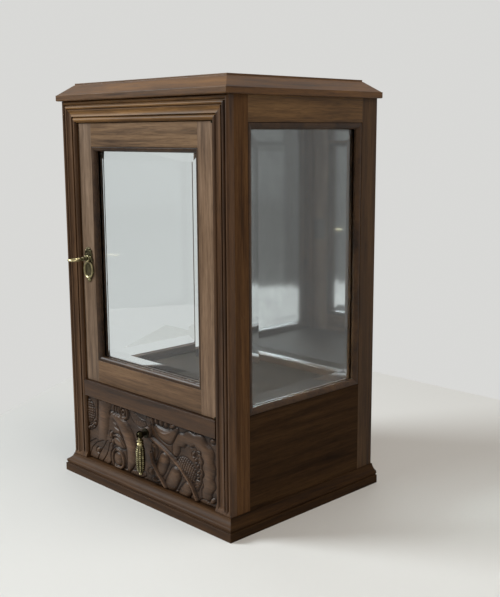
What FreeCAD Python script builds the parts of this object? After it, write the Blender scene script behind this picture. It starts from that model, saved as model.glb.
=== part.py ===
import FreeCAD, Part
import math
import os

# Table-top display case. Millimetres, Z up, front towards -Y, origin on the
# middle of the underside of the base.

# Overall sizes
case_width = 302.4
case_depth = 243.4
total_height = 500.0
base_height = 23.2
top_thickness = 21.4

# Base moulding
base_overhang = 8.8
base_rear_overhang = 2.0
base_strip_inner = 14.0
base_fillet_height = 9.6

# Top board
top_side_overhang = 4.2
top_front_overhang = 4.9
top_lip = 7.2
top_step = 2.2
top_chamfer_run = 16.5
lip_round = 1.2

# Moulded front frame
mould_width = 26.0
mould_thick = 9.0
outer_bead = 4.6
bead_groove = 1.5
small_bead = 3.8
band_groove = 1.2
quirk = 1.5
inner_bead = 4.8
inner_fillet = 0.8
foot_stop = 11.0

# Side frames
side_thick = 20.0
post_side_width = 29.4
rear_stile_width = 27.0
side_top_rail_height = 28.4
side_bottom_rail_top = 133.0

# Divider rail, drawer opening and display floor
drawer_opening = 84.5
divider_height = 20.3
divider_recess = 1.2
floor_thick = 8.0
floor_lap = 2.0

# Door
door_recess = 5.7
door_thick = 17.0
door_side_gap = 1.0
door_end_gap = 0.8
door_stile = 26.0
door_top_rail = 28.0
door_bottom_rail = 28.2
stop_gap = 0.3

# Glazing
side_bead_width = 7.6
door_bead_width = 5.6
bead_quirk = 0.7
outer_bead_depth = 6.0
glass_thick = 4.0
glass_edge = 1.8
glass_clearance = 0.4
side_bevel = 20.0
door_bevel = 15.0
inner_bead_depth = 6.5
mirror_thick = 4.0
mirror_bead_width = 9.0
mirror_bead_thick = 7.0
back_thick = 8.0

# Mortise and tenon joints
tenon_thick = 7.0
tenon_length = 12.0
tenon_shoulder = 4.0
tenon_fit = 0.1

# Drawer
drawer_recess = 2.4
drawer_front_thick = 18.0
drawer_side_gap = 1.0
drawer_end_gap = 0.8
drawer_side_thick = 9.0
drawer_side_drop = 2.3
drawer_length = 218.0
drawer_back_thick = 9.0
drawer_back_inset = 3.0
drawer_back_drop = 4.6
drawer_bottom_thick = 4.5
drawer_bottom_rise = 6.0
drawer_groove = 4.0
runner_height = 4.0
runner_foot = 11.0
guide_height = 22.0
run_gap = 0.1
kicker_width = 12.0
kicker_gap = 1.0
dovetail_length = 11.0
dovetail_count = 3
dovetail_root = 11.0
dovetail_flare = 2.2

# Pivot hinges
pivot_edge = 1.6
pivot_ahead = 0.3
pivot_nose = 1.8
pivot_pin = 1.0
pivot_clearance = 0.05
pivot_plate = 2.0
pivot_strap_width = 8.0
pivot_strap_length = 22.0

# Lock, key and escutcheon
key_height = 286.0
lock_width = 21.0
lock_depth = 11.0
lock_below = 12.0
lock_above = 20.0
lock_wall = 1.4
lock_cover_thick = 1.2
bolt_length = 15.0
bolt_thick = 4.0
bolt_height = 8.0
bolt_rise = 6.6
bolt_throw = 6.0
bolt_clearance = 0.3
strike_thick = 1.2
key_shank = 2.0
key_tip = 1.5
key_reach = 30.0
key_bit = 5.6
keyhole_clearance = 0.5
bow_width = 17.2
bow_length = 14.8
bow_wire = 2.8
escutcheon_width = 20.0
escutcheon_height = 45.0
escutcheon_thick = 1.6
escutcheon_rim = 1.1

# Drop pull
pull_height = 85.2
pull_stand = 9.0
pull_ball = 4.7
pull_slot = 3.2
pull_tongue = 2.6
pull_eye = 3.0
pull_pin_r = 1.0
pull_pin_clearance = 0.05
pull_shank = 2.0
pull_rosette = 6.0
pull_drop_length = 44.5
pull_drop_radius = 5.2

# Derived planes and edges
hw = case_width / 2
hd = case_depth / 2
z_base = base_height
z_top = total_height - top_thickness
open_x = hw - mould_width
open_top = z_top - mould_width
post_front = -hd + mould_thick
post_back = -hd + post_side_width
rear_front = hd - rear_stile_width
side_in = hw - side_thick
z_rail0 = z_base + drawer_opening
z_rail1 = z_rail0 + divider_height
door_half = open_x - door_side_gap
door_y0 = -hd + door_recess
door_y1 = door_y0 + door_thick
door_z0 = z_rail1 + door_end_gap
door_z1 = open_top - door_end_gap
floor_y0 = door_y1 + stop_gap
floor_top = door_z0 + floor_lap
floor_low = floor_top - floor_thick
side_z0 = side_bottom_rail_top
side_z1 = z_top - side_top_rail_height
back_y0 = hd - back_thick
mirror_y0 = back_y0 - mirror_thick
pane_x = door_half - door_stile
pane_z0 = door_z0 + door_bottom_rail
pane_z1 = door_z1 - door_top_rail


def box(x0, x1, y0, y1, z0, z1):
    return Part.makeBox(x1 - x0, y1 - y0, z1 - z0, FreeCAD.Vector(x0, y0, z0))


def cyl_y(x, z, radius, y0, y1):
    return Part.makeCylinder(radius, y1 - y0, FreeCAD.Vector(x, y0, z), FreeCAD.Vector(0, 1, 0))


def cyl_z(x, y, radius, z0, z1):
    return Part.makeCylinder(radius, z1 - z0, FreeCAD.Vector(x, y, z0), FreeCAD.Vector(0, 0, 1))


def cyl_x(y, z, radius, x0, x1):
    return Part.makeCylinder(radius, x1 - x0, FreeCAD.Vector(x0, y, z), FreeCAD.Vector(1, 0, 0))


def fused(shapes):
    whole = shapes[0]
    for other in shapes[1:]:
        whole = whole.fuse(other)
    return whole.removeSplitter()


def mirrored(shape):
    return shape.mirror(FreeCAD.Vector(0, 0, 0), FreeCAD.Vector(1, 0, 0))


def polygon(points):
    """Closed wire through 3-D points."""
    vectors = [FreeCAD.Vector(*p) for p in points]
    vectors.append(vectors[0])
    return Part.makePolygon(vectors)


def prism(points, direction):
    return Part.Face(polygon(points)).extrude(FreeCAD.Vector(*direction))


def profile(start, steps):
    """Face in the local YZ plane: a step of two numbers is a line to (u, h), a step of
    four is an arc through the first pair to the second."""
    here = start
    edges = []
    for step in steps:
        a = FreeCAD.Vector(0, here[0], here[1])
        b = FreeCAD.Vector(0, step[-2], step[-1])
        if len(step) == 4:
            mid = FreeCAD.Vector(0, step[0], step[1])
            edges.append(Part.Arc(a, mid, b).toShape())
        else:
            edges.append(Part.makeLine(a, b))
        here = (step[-2], step[-1])
    edges.append(Part.makeLine(FreeCAD.Vector(0, *here), FreeCAD.Vector(0, *start)))
    return Part.Face(Part.Wire(edges))


def moulded_bar(face, length, width, mitre_start, mitre_end):
    """Bar along local X with the profile across it and mitred ends."""
    bar = face.extrude(FreeCAD.Vector(length, 0, 0))
    low = width if mitre_start else 0.0
    high = length - width if mitre_end else length
    reach = 4.0 * width
    cut = prism([(0, 0, -reach), (length, 0, -reach), (high, width, -reach), (low, width, -reach)],
                (0, 0, 2 * reach))
    return bar.common(cut)


def framed(shape, origin, along, inward, normal):
    """Rigid move of local X, Y, Z to three world directions."""
    m = FreeCAD.Matrix(along[0], inward[0], normal[0], origin[0],
                       along[1], inward[1], normal[1], origin[1],
                       along[2], inward[2], normal[2], origin[2],
                       0, 0, 0, 1)
    moved = shape.copy()
    moved.Placement = FreeCAD.Placement(m).multiply(moved.Placement)
    return moved


def bead_frame(face, width, a0, b0, a1, b1):
    """Four mitred bars round a rectangle, on local XY with Z outwards."""
    up = (0, 0, 1)
    wide = a1 - a0
    tall = b1 - b0
    flat = moulded_bar(face, wide, width, True, True)
    upright = moulded_bar(face, tall, width, True, True)
    return Part.makeCompound([
        framed(flat, (a0, b0, 0), (1, 0, 0), (0, 1, 0), up),
        framed(upright, (a1, b0, 0), (0, 1, 0), (-1, 0, 0), up),
        framed(flat, (a1, b1, 0), (-1, 0, 0), (0, -1, 0), up),
        framed(upright, (a0, b1, 0), (0, -1, 0), (1, 0, 0), up),
    ])


def bevelled_pane(a0, b0, a1, b1, bevel):
    """Glass on local XY: square edge, then a bevel up to the flat middle."""
    def rectangle(inset, z):
        return polygon([(a0 + inset, b0 + inset, z), (a1 - inset, b0 + inset, z),
                        (a1 - inset, b1 - inset, z), (a0 + inset, b1 - inset, z)])
    edge = Part.Face(rectangle(0.0, 0.0)).extrude(FreeCAD.Vector(0, 0, glass_edge))
    raised = Part.makeLoft([rectangle(0.0, glass_edge), rectangle(bevel, glass_thick)], True, True)
    return edge.fuse(raised).removeSplitter()


def glazing_profile(width, depth):
    mid = (bead_quirk + width) / 2
    return profile((0, 0), [
        (0, depth - 1.2),
        (bead_quirk, depth - 1.2),
        (bead_quirk, depth - 0.2),
        (mid + 0.6, depth - 0.9, width, depth * 0.42),
        (width, 0),
    ])


def inner_bead_profile(width, depth):
    soft = 1.6
    return profile((0, 0), [
        (0, depth),
        (width - soft, depth),
        (width - soft * 0.29, depth - soft * 0.29, width, depth - soft),
        (width, 0),
    ])


def on_front(shape, y):
    return framed(shape, (0, y, 0), (1, 0, 0), (0, 0, 1), (0, -1, 0))


def on_right(shape, x):
    return framed(shape, (x, 0, 0), (0, 1, 0), (0, 0, 1), (1, 0, 0))


def facing_in(shape, x):
    return framed(shape, (x, 0, 0), (0, -1, 0), (0, 0, 1), (-1, 0, 0))


def facing_back(shape, y):
    return framed(shape, (0, y, 0), (-1, 0, 0), (0, 0, 1), (0, 1, 0))


nodes = {}

# Base: a thick board with mitred mouldings on three sides
plinth_x = hw - base_strip_inner
plinth_y = -hd + base_strip_inner
nodes["plinth_board"] = box(-plinth_x, plinth_x, plinth_y, hd, 0, base_height)
strip_width = base_overhang + base_strip_inner
bead_low = base_fillet_height + 1.4
bead_high = base_height * 0.69
base_face = profile((strip_width, 0), [
    (strip_width, base_height),
    (base_overhang - 1.0, base_height),
    (base_overhang - 1.0, base_height - 0.8),
    (base_overhang * 0.62, bead_high + 2.2, base_overhang * 0.28, bead_high),
    (base_overhang * 0.08, (bead_low + bead_high) / 2, base_overhang * 0.2, bead_low),
    (base_overhang * 0.2, base_fillet_height + 0.4),
    (0.5, base_fillet_height + 0.4),
    (0.15, base_fillet_height + 0.25, 0, base_fillet_height - 0.1),
    (0, 0),
])
base_x = hw + base_overhang
base_y = -hd - base_overhang
base_back = hd + base_rear_overhang
front_base = moulded_bar(base_face, 2 * base_x, strip_width, True, True)
side_base = moulded_bar(base_face, base_back - base_y, strip_width, True, False)
nodes["base_moulding_front"] = framed(front_base, (-base_x, base_y, 0), (1, 0, 0), (0, 1, 0), (0, 0, 1))
right_base = framed(side_base, (base_x, base_y, 0), (0, 1, 0), (-1, 0, 0), (0, 0, 1))
nodes["base_moulding_right"] = right_base
nodes["base_moulding_left"] = mirrored(right_base)

# Moulded front frame: two uprights with sloped stops at the foot and a head, mitred
cove0 = outer_bead + bead_groove + small_bead + band_groove
cove1 = mould_width - inner_fillet - inner_bead - quirk
bead0 = cove1 + quirk
bead1 = bead0 + inner_bead
h = mould_thick
small0 = outer_bead + bead_groove
small1 = small0 + small_bead
mould_face = profile((0, 0), [
    (0, h - 2.0),
    (outer_bead / 2, h, outer_bead, h - 2.0),
    (outer_bead, h - 2.8),
    (small0, h - 2.8),
    (small0, h - 2.0),
    (small0 + small_bead / 2, h - 0.2, small1, h - 2.0),
    (small1, h - 2.6),
    (cove0, h - 2.6),
    (cove0, h - 0.6),
    (cove0 + (cove1 - cove0) * 0.56, h - 2.3, cove1, h - 1.4),
    (cove1, h - 3.8),
    (bead0, h - 3.8),
    (bead0, h - 3.2),
    ((bead0 + bead1) / 2, h - 1.1, bead1, h - 3.2),
    (mould_width, h - 3.4),
    (mould_width, 0),
])
upright = moulded_bar(mould_face, z_top - z_base, mould_width, False, True)
wedge = prism([(0, 0, 0), (0, 0, h), (foot_stop * 0.15, 0, h), (foot_stop, 0, h - 4.2), (foot_stop, 0, 0)],
              (0, mould_width, 0))
upright = upright.fuse(wedge).removeSplitter()
right_mould = framed(upright, (hw, post_front, z_base), (0, 0, 1), (-1, 0, 0), (0, -1, 0))
head = moulded_bar(mould_face, case_width, mould_width, True, True)
head = framed(head, (hw, post_front, z_top), (-1, 0, 0), (0, 0, -1), (0, -1, 0))

# Tenons of the front rails and side rails
front_tenon_y0 = post_front + 3.0
front_tenon_y1 = front_tenon_y0 + tenon_thick
side_tenon_x0 = side_in + (side_thick - tenon_thick) / 2
side_tenon_x1 = side_tenon_x0 + tenon_thick


def front_tenon(z0, z1, fit):
    return box(open_x, open_x + tenon_length + fit, front_tenon_y0 - fit, front_tenon_y1 + fit,
               z0 + tenon_shoulder - fit, z1 - tenon_shoulder + fit)


def side_tenon(y0, y1, z0, z1, fit):
    return box(side_tenon_x0 - fit, side_tenon_x1 + fit, y0, y1,
               z0 + tenon_shoulder - fit, z1 - tenon_shoulder + fit)


def side_mortise_front(z0, z1):
    return side_tenon(post_back - tenon_length - tenon_fit, post_back, z0, z1, tenon_fit)


def side_mortise_rear(z0, z1):
    return side_tenon(rear_front, rear_front + tenon_length + tenon_fit, z0, z1, tenon_fit)


post = box(open_x, hw, post_front, post_back, z_base, z_top)
for low, high in ((open_top, z_top), (z_rail0, z_rail1)):
    post = post.cut(front_tenon(low, high, tenon_fit))
for low, high in ((side_z1, z_top), (z_base, side_z0)):
    post = post.cut(side_mortise_front(low, high))
nodes["front_post_right"] = post
left_post = mirrored(post)

rear = box(side_in, hw, rear_front, hd, z_base, z_top)
for low, high in ((side_z1, z_top), (z_base, side_z0)):
    rear = rear.cut(side_mortise_rear(low, high))
nodes["rear_stile_right"] = rear
nodes["rear_stile_left"] = mirrored(rear)


def side_rail(z0, z1):
    body = box(side_in, hw, post_back, rear_front, z0, z1)
    ahead = side_tenon(post_back - tenon_length, post_back, z0, z1, 0.0)
    behind = side_tenon(rear_front, rear_front + tenon_length, z0, z1, 0.0)
    return fused([body, ahead, behind])


for name, low, high in (("top", side_z1, z_top), ("bottom", z_base, side_z0)):
    rail = side_rail(low, high)
    nodes["side_%s_rail_right" % name] = rail
    nodes["side_%s_rail_left" % name] = mirrored(rail)

# Side glass between mitred outer and inner beads
outer_face = glazing_profile(side_bead_width, outer_bead_depth)
outer_beads = bead_frame(outer_face, side_bead_width, post_back, side_z0, rear_front, side_z1)
pane = bevelled_pane(post_back + glass_clearance, side_z0 + glass_clearance,
                     rear_front - glass_clearance, side_z1 - glass_clearance, side_bevel)
bead_in_face = inner_bead_profile(side_bead_width, inner_bead_depth)
inner_beads = bead_frame(bead_in_face, side_bead_width, -rear_front, side_z0, -post_back, side_z1)
glass_out = hw - outer_bead_depth
glass_in = glass_out - glass_thick
for name, shape in (("side_outer_beads", on_right(outer_beads, glass_out)),
                    ("side_glass", on_right(pane, glass_in)),
                    ("side_inner_beads", facing_in(inner_beads, glass_in))):
    nodes[name + "_right"] = shape
    nodes[name + "_left"] = mirrored(shape)

# Front rails
front_top = box(-open_x, open_x, post_front, post_back, open_top, z_top)
top_tenon = front_tenon(open_top, z_top, 0.0)
front_top = fused([front_top, top_tenon, mirrored(top_tenon)])
divider = box(-open_x, open_x, -hd + divider_recess, floor_y0, z_rail0, z_rail1)
rail_tenon = front_tenon(z_rail0, z_rail1, 0.0)
divider = fused([divider, rail_tenon, mirrored(rail_tenon)])

# Display floor, kickers above the drawer, runners below it
floor_mid = box(-open_x, open_x, floor_y0, back_y0, floor_low, floor_top)
floor_wide = box(-side_in, side_in, post_back, back_y0, floor_low, floor_top)
nodes["display_floor"] = fused([floor_mid, floor_wide])
drawer_z0 = z_base + drawer_end_gap
drawer_z1 = z_rail0 - drawer_end_gap
side_low = z_base + runner_height + run_gap
side_high = drawer_z1 - drawer_side_drop
kicker_low = side_high + kicker_gap
kicker = box(side_in - kicker_width, side_in, post_back, back_y0, kicker_low, floor_low)
nodes["floor_kickers"] = Part.makeCompound([kicker, mirrored(kicker)])
foot = box(open_x - runner_foot, side_in, post_back, back_y0, z_base, z_base + runner_height)
guide = box(open_x, side_in, post_back, back_y0, z_base, z_base + guide_height)
runner = fused([foot, guide])
nodes["drawer_runners"] = Part.makeCompound([runner, mirrored(runner)])

# Back board with a mirror held by mitred beads
nodes["back_board"] = box(-side_in, side_in, back_y0, hd, z_base, z_top)
nodes["back_mirror"] = box(-side_in + glass_clearance, side_in - glass_clearance, mirror_y0, back_y0,
                           floor_top, z_top - glass_clearance)
mirror_face = inner_bead_profile(mirror_bead_width, mirror_bead_thick)
mirror_frame = bead_frame(mirror_face, mirror_bead_width, -side_in, floor_top, side_in, z_top)
nodes["mirror_beads"] = on_front(mirror_frame, mirror_y0)

# Top board: lip, chamfer on four sides and a small step
lip_x = hw + top_side_overhang
lip_y = hd + top_front_overhang


def top_outline(inset, z):
    return polygon([(-lip_x + inset, -lip_y + inset, z), (lip_x - inset, -lip_y + inset, z),
                    (lip_x - inset, lip_y - inset, z), (-lip_x + inset, lip_y - inset, z)])


lip = box(-lip_x, lip_x, -lip_y, lip_y, z_top, z_top + top_lip)
under_edges = [e for e in lip.Edges if e.BoundBox.ZMax < z_top + 0.1]
lip = lip.makeFillet(lip_round, under_edges)
chamfer_top = total_height - top_step
slope = Part.makeLoft([top_outline(0.8, z_top + top_lip), top_outline(top_chamfer_run, chamfer_top)],
                      True, True)
step_inset = top_chamfer_run + 0.8
step = box(-lip_x + step_inset, lip_x - step_inset, -lip_y + step_inset, lip_y - step_inset,
           chamfer_top, total_height)
nodes["top_board"] = fused([lip, slope, step])

# Pivot hinges at the right-hand corners of the door
pivot_x = door_half - pivot_edge
pivot_y = door_y0 - pivot_ahead


def pivot_strap(z0, z1):
    strap = box(door_half - pivot_strap_length, door_half, door_y0 + 3.0,
                door_y0 + 3.0 + pivot_strap_width, z0, z1)
    neck = box(pivot_x - pivot_nose, door_half, pivot_y, door_y0 + 4.0, z0, z1)
    nose = cyl_z(pivot_x, pivot_y, pivot_nose, z0, z1)
    return fused([strap, neck, nose])


upper_frame = pivot_strap(open_top, open_top + pivot_plate)
lower_frame = pivot_strap(z_rail1 - pivot_plate, z_rail1)
head_right = head.cut(upper_frame)
front_top = front_top.cut(upper_frame)
divider = divider.cut(lower_frame)
upper_pin = cyl_z(pivot_x, pivot_y, pivot_pin, door_z1 - pivot_plate - 0.2, open_top + 0.5)
lower_pin = cyl_z(pivot_x, pivot_y, pivot_pin, z_rail1 - 0.5, door_z0 + pivot_plate + 0.2)
thrust = cyl_z(pivot_x, pivot_y, pivot_nose, z_rail1 - 0.5, door_z0 - pivot_clearance)
nodes["upper_frame_pivot"] = fused([upper_frame, upper_pin])
nodes["lower_frame_pivot"] = fused([lower_frame, thrust, lower_pin])
nodes["front_moulding_top"] = head_right
nodes["front_moulding_right"] = right_mould
nodes["front_moulding_left"] = mirrored(right_mould)
nodes["front_top_rail"] = front_top
nodes["divider_rail"] = divider
stop_x = open_x - 14.0
nodes["door_stop"] = box(-stop_x, stop_x, floor_y0, post_back, open_top - 8.0, open_top)
upper_strap = pivot_strap(door_z1 - pivot_plate, door_z1)
lower_strap = pivot_strap(door_z0, door_z0 + pivot_plate)
pin_bore = cyl_z(pivot_x, pivot_y, pivot_pin + pivot_clearance, door_z0 - 1.0, door_z1 + 1.0)
nodes["upper_door_pivot"] = upper_strap.cut(pin_bore)
nodes["lower_door_pivot"] = lower_strap.cut(pin_bore)

# Door frame: through stiles with mortises, rails with tenons
door_tenon_y0 = door_y0 + (door_thick - tenon_thick) / 2
door_tenon_y1 = door_tenon_y0 + tenon_thick


def door_tenon(z0, z1, fit):
    return box(pane_x, pane_x + tenon_length + fit, door_tenon_y0 - fit, door_tenon_y1 + fit,
               z0 + tenon_shoulder - fit, z1 - tenon_shoulder + fit)


def door_rail(z0, z1):
    body = box(-pane_x, pane_x, door_y0, door_y1, z0, z1)
    tongue = door_tenon(z0, z1, 0.0)
    return fused([body, tongue, mirrored(tongue)])


stile = box(pane_x, door_half, door_y0, door_y1, door_z0, door_z1)
for low, high in ((door_z0, pane_z0), (pane_z1, door_z1)):
    stile = stile.cut(door_tenon(low, high, tenon_fit))
left_stile = mirrored(stile)
nodes["door_stile_right"] = stile.cut(upper_strap).cut(lower_strap).cut(pin_bore)
nodes["door_rail_top"] = door_rail(pane_z1, door_z1)
nodes["door_rail_bottom"] = door_rail(door_z0, pane_z0)
door_bead_face = glazing_profile(door_bead_width, outer_bead_depth)
door_beads = bead_frame(door_bead_face, door_bead_width, -pane_x, pane_z0, pane_x, pane_z1)
door_glass_y = door_y0 + outer_bead_depth
nodes["door_outer_beads"] = on_front(door_beads, door_glass_y)
door_pane = bevelled_pane(-pane_x + glass_clearance, pane_z0 + glass_clearance,
                          pane_x - glass_clearance, pane_z1 - glass_clearance, door_bevel)
nodes["door_glass"] = on_front(door_pane, door_glass_y + glass_thick)
door_in_face = inner_bead_profile(door_bead_width, door_thick - outer_bead_depth - glass_thick)
door_in = bead_frame(door_in_face, door_bead_width, -pane_x, pane_z0, pane_x, pane_z1)
nodes["door_inner_beads"] = facing_back(door_in, door_glass_y + glass_thick)

# Lock let into the back of the left stile, with bolt, cover and strike
key_x = -(door_half + pane_x) / 2
lock_x0 = -door_half
lock_x1 = lock_x0 + lock_width
lock_y0 = door_y1 - lock_depth
cover_y0 = door_y1 - lock_cover_thick
lock_z0 = key_height - lock_below
lock_z1 = key_height + lock_above
lock_space = box(lock_x0, lock_x1, lock_y0, door_y1, lock_z0, lock_z1)
cavity = box(lock_x0 + lock_wall, lock_x1 - lock_wall, lock_y0 + lock_wall, cover_y0,
             lock_z0 + lock_wall, lock_z1 - lock_wall)
bolt_y0 = lock_y0 + lock_wall + 2.2
bolt_y1 = bolt_y0 + bolt_thick
bolt_z0 = key_height + bolt_rise
bolt_z1 = bolt_z0 + bolt_height
bolt_tip = lock_x0 + 0.2
keyhole_r = key_shank + keyhole_clearance
keyhole = cyl_y(key_x, key_height, keyhole_r, door_y0 - 6.0, lock_y0 + lock_wall)
slot = box(key_x - 1.4, key_x + 1.4, door_y0 - 6.0, lock_y0 + lock_wall,
           key_height - key_bit - 0.6, key_height)
keyhole = keyhole.fuse(slot)


def bolt_bar(x0, x1, clear):
    return box(x0, x1, bolt_y0 - clear, bolt_y1 + clear, bolt_z0 - clear, bolt_z1 + clear)


lock = box(lock_x0, lock_x1, lock_y0, cover_y0, lock_z0, lock_z1).cut(cavity).cut(keyhole)
nodes["lock_case"] = lock.cut(bolt_bar(lock_x0 - 1.0, lock_x0 + lock_wall + 1.0, bolt_clearance))
cover = box(lock_x0, lock_x1, cover_y0, door_y1, lock_z0, lock_z1)
tip_bore = cyl_y(key_x, key_height, key_tip + pivot_clearance, cover_y0 - 1.0, door_y1 + 1.0)
nodes["lock_cover"] = cover.cut(tip_bore)
nodes["door_stile_left"] = left_stile.cut(lock_space).cut(keyhole)
nodes["lock_bolt"] = bolt_bar(bolt_tip, bolt_tip + bolt_length, 0.0)
strike = box(-open_x - strike_thick, -open_x, bolt_y0 - 2.5, bolt_y1 + 2.5, bolt_z0 - 5.0, bolt_z1 + 5.0)
pocket = bolt_bar(-open_x - bolt_throw - 1.5, -open_x + 0.1, 0.6)
nodes["strike_plate"] = strike.cut(pocket)
nodes["front_post_left"] = left_post.cut(strike).cut(pocket)
nodes["front_moulding_left"] = nodes["front_moulding_left"].cut(strike).cut(pocket)

# Key: pivot tip, shank with bit, collar and an oval bow lying flat
bit_y0 = lock_y0 + lock_wall + 0.6
bit_y1 = cover_y0 - 2.4
key_front = door_y0 - key_reach
bow_y = key_front + bow_length / 2
tip = cyl_y(key_x, key_height, key_tip, bit_y1, door_y1 - 0.3)
shank = cyl_y(key_x, key_height, key_shank, bow_y + bow_length / 2 - bow_wire, bit_y1 + 0.2)
bit = box(key_x, key_x + key_bit, bit_y0, bit_y1, key_height - 1.0, key_height + 1.0)
collar = cyl_y(key_x, key_height, key_shank + 1.3, door_y0 - 6.2, door_y0 - 4.2)


def flat_ellipse(rx, ry, z0, z1):
    long_way = rx >= ry
    curve = Part.Ellipse(FreeCAD.Vector(0, 0, 0), max(rx, ry), min(rx, ry))
    face = Part.Face(Part.Wire([curve.toShape()]))
    if not long_way:
        face.rotate(FreeCAD.Vector(0, 0, 0), FreeCAD.Vector(0, 0, 1), 90)
    face.translate(FreeCAD.Vector(0, 0, z0))
    return face.extrude(FreeCAD.Vector(0, 0, z1 - z0))


bow = flat_ellipse(bow_width / 2, bow_length / 2, -bow_wire / 2, bow_wire / 2)
bow = bow.cut(flat_ellipse(bow_width / 2 - bow_wire, bow_length / 2 - bow_wire, -bow_wire, bow_wire))
bow.translate(FreeCAD.Vector(key_x, bow_y, key_height))
nodes["key"] = fused([tip, shank, bit, collar, bow])

# Escutcheon: oval body with raised rim, crest above, finial below
esc_low = key_height + 14.6 - escutcheon_height
oval_rx = escutcheon_width * 0.46
oval_ry = escutcheon_height * 0.27
oval_z = esc_low + 3.0 + oval_ry
rim_rx = oval_rx - 1.6
rim_ry = oval_ry - 1.6
plate = flat_ellipse(oval_rx, oval_ry, 0.0, escutcheon_thick + escutcheon_rim)
hollow = flat_ellipse(rim_rx, rim_ry, escutcheon_thick, escutcheon_thick + 2 * escutcheon_rim)
plate = plate.cut(hollow)
plate.translate(FreeCAD.Vector(key_x, oval_z, 0))
lobes = [plate]
crest_z = esc_low + escutcheon_height - escutcheon_width * 0.46
crest_r = escutcheon_width * 0.36
crest_side_r = crest_r * 0.66
for side, rise, radius in ((0, crest_r * 0.28, crest_r), (-1, -1.0, crest_side_r), (1, -1.0, crest_side_r)):
    lobe = Part.makeCylinder(radius, escutcheon_thick,
                             FreeCAD.Vector(key_x + side * escutcheon_width * 0.27, crest_z + rise, 0))
    lobes.append(lobe)
lobes.append(Part.makeCylinder(3.0, escutcheon_thick, FreeCAD.Vector(key_x, esc_low + 3.0, 0)))
boss = Part.makeCylinder(keyhole_r + 1.6, escutcheon_thick + escutcheon_rim,
                         FreeCAD.Vector(key_x, key_height, 0))
lobes.append(boss)
nodes["escutcheon"] = on_front(fused(lobes), door_y0).cut(keyhole)

# Drawer: front with lapped dovetails, grooved for the bottom
drawer_half = open_x - drawer_side_gap
front_y0 = -hd + drawer_recess
front_y1 = front_y0 + drawer_front_thick
drawer_end = front_y0 + drawer_length
side_x0 = drawer_half - drawer_side_thick
bottom_z0 = side_low + drawer_bottom_rise
bottom_z1 = bottom_z0 + drawer_bottom_thick
back_in = drawer_end - drawer_back_inset - drawer_back_thick
pitch = (side_high - side_low) / dovetail_count
tails = []
for i in range(dovetail_count):
    middle = side_low + pitch * (i + 0.5)
    root = dovetail_root / 2
    wide = root + dovetail_flare
    tails.append(prism([(side_x0, front_y1, middle - root), (side_x0, front_y1, middle + root),
                        (side_x0, front_y1 - dovetail_length, middle + wide),
                        (side_x0, front_y1 - dovetail_length, middle - wide)],
                       (drawer_side_thick, 0, 0)))
bottom = box(-side_x0 - drawer_groove, side_x0 + drawer_groove, front_y1 - drawer_groove,
             back_in + drawer_back_thick, bottom_z0, bottom_z1)
front = box(-drawer_half, drawer_half, front_y0, front_y1, drawer_z0, drawer_z1)
for tail in tails:
    front = front.cut(tail).cut(mirrored(tail))
drawer_side = fused([box(side_x0, drawer_half, front_y1, drawer_end, side_low, side_high)] + tails)
right_side = drawer_side.cut(bottom)
pull_bore = cyl_y(0, pull_height, pull_shank + 0.1, front_y0 - 1.0, front_y1 + 1.0)
nodes["drawer_front"] = front.cut(bottom).cut(pull_bore)
nodes["drawer_side_right"] = right_side
nodes["drawer_side_left"] = mirrored(right_side)
nodes["drawer_back"] = box(-side_x0, side_x0, back_in, back_in + drawer_back_thick,
                           bottom_z1, side_high - drawer_back_drop)
nodes["drawer_bottom"] = bottom.cut(drawer_side.cut(bottom)).cut(mirrored(drawer_side.cut(bottom)))
stop_block = box(side_x0 - 3.0, drawer_half, drawer_end + 0.4, back_y0, bottom_z1 + 12.0, bottom_z1 + 30.0)
nodes["drawer_stops"] = Part.makeCompound([stop_block, mirrored(stop_block)])

# Drop pull: slotted ball on a post through the front, cross pin, hanging bud
pull_y = front_y0 - pull_stand
ball = Part.makeSphere(pull_ball, FreeCAD.Vector(0, pull_y, pull_height))
neck = cyl_y(0, pull_height, pull_shank + 0.8, pull_y + pull_ball * 0.7, front_y0)
rosette = cyl_y(0, pull_height, pull_rosette, front_y0 - 1.6, front_y0)
bolt_shank = cyl_y(0, pull_height, pull_shank, front_y0, front_y1 + 6.0)
slot_back = pull_y + pull_eye + 0.4
slot = box(-pull_slot / 2, pull_slot / 2, pull_y - 2 * pull_ball, slot_back,
           pull_height - 2 * pull_ball, pull_height + 2 * pull_ball)
cheek_bore = cyl_x(pull_y, pull_height, pull_pin_r, -2 * pull_ball, 2 * pull_ball)
post_head = fused([ball, neck, rosette, bolt_shank]).cut(slot)
nodes["pull_post"] = post_head.cut(cheek_bore)
pin_half = pull_ball * 0.86
nodes["pull_pin"] = cyl_x(pull_y, pull_height, pull_pin_r, -pin_half, pin_half)
washer = cyl_y(0, pull_height, 5.0, front_y1, front_y1 + 1.0)
hexagon = [(4.0 * math.cos(math.radians(60 * i)), front_y1 + 1.0,
            pull_height + 4.0 * math.sin(math.radians(60 * i))) for i in range(6)]
nut = fused([washer, prism(hexagon, (0, 3.4, 0))])
nodes["pull_nut"] = nut.cut(cyl_y(0, pull_height, pull_shank, front_y1 - 1.0, front_y1 + 8.0))
eye = cyl_x(pull_y, pull_height, pull_eye, -pull_tongue / 2, pull_tongue / 2)
collar_top = pull_height - pull_ball - 1.5
tongue = box(-pull_tongue / 2, pull_tongue / 2, pull_y - 2.2, pull_y + 2.2, collar_top - 1.0, pull_height)
R = pull_drop_radius
L = pull_drop_length
bud_points = [(0, 0), (R * 0.62, 0), (R * 0.7, -0.05), (R * 0.7, -0.08), (R * 0.5, -0.10),
              (R * 0.52, -0.13), (R * 0.86, -0.22), (R, -0.42), (R * 0.97, -0.62), (R * 0.78, -0.80),
              (R * 0.46, -0.91), (R * 0.4, -0.94), (R * 0.32, -0.985), (0, -1.0)]
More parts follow.
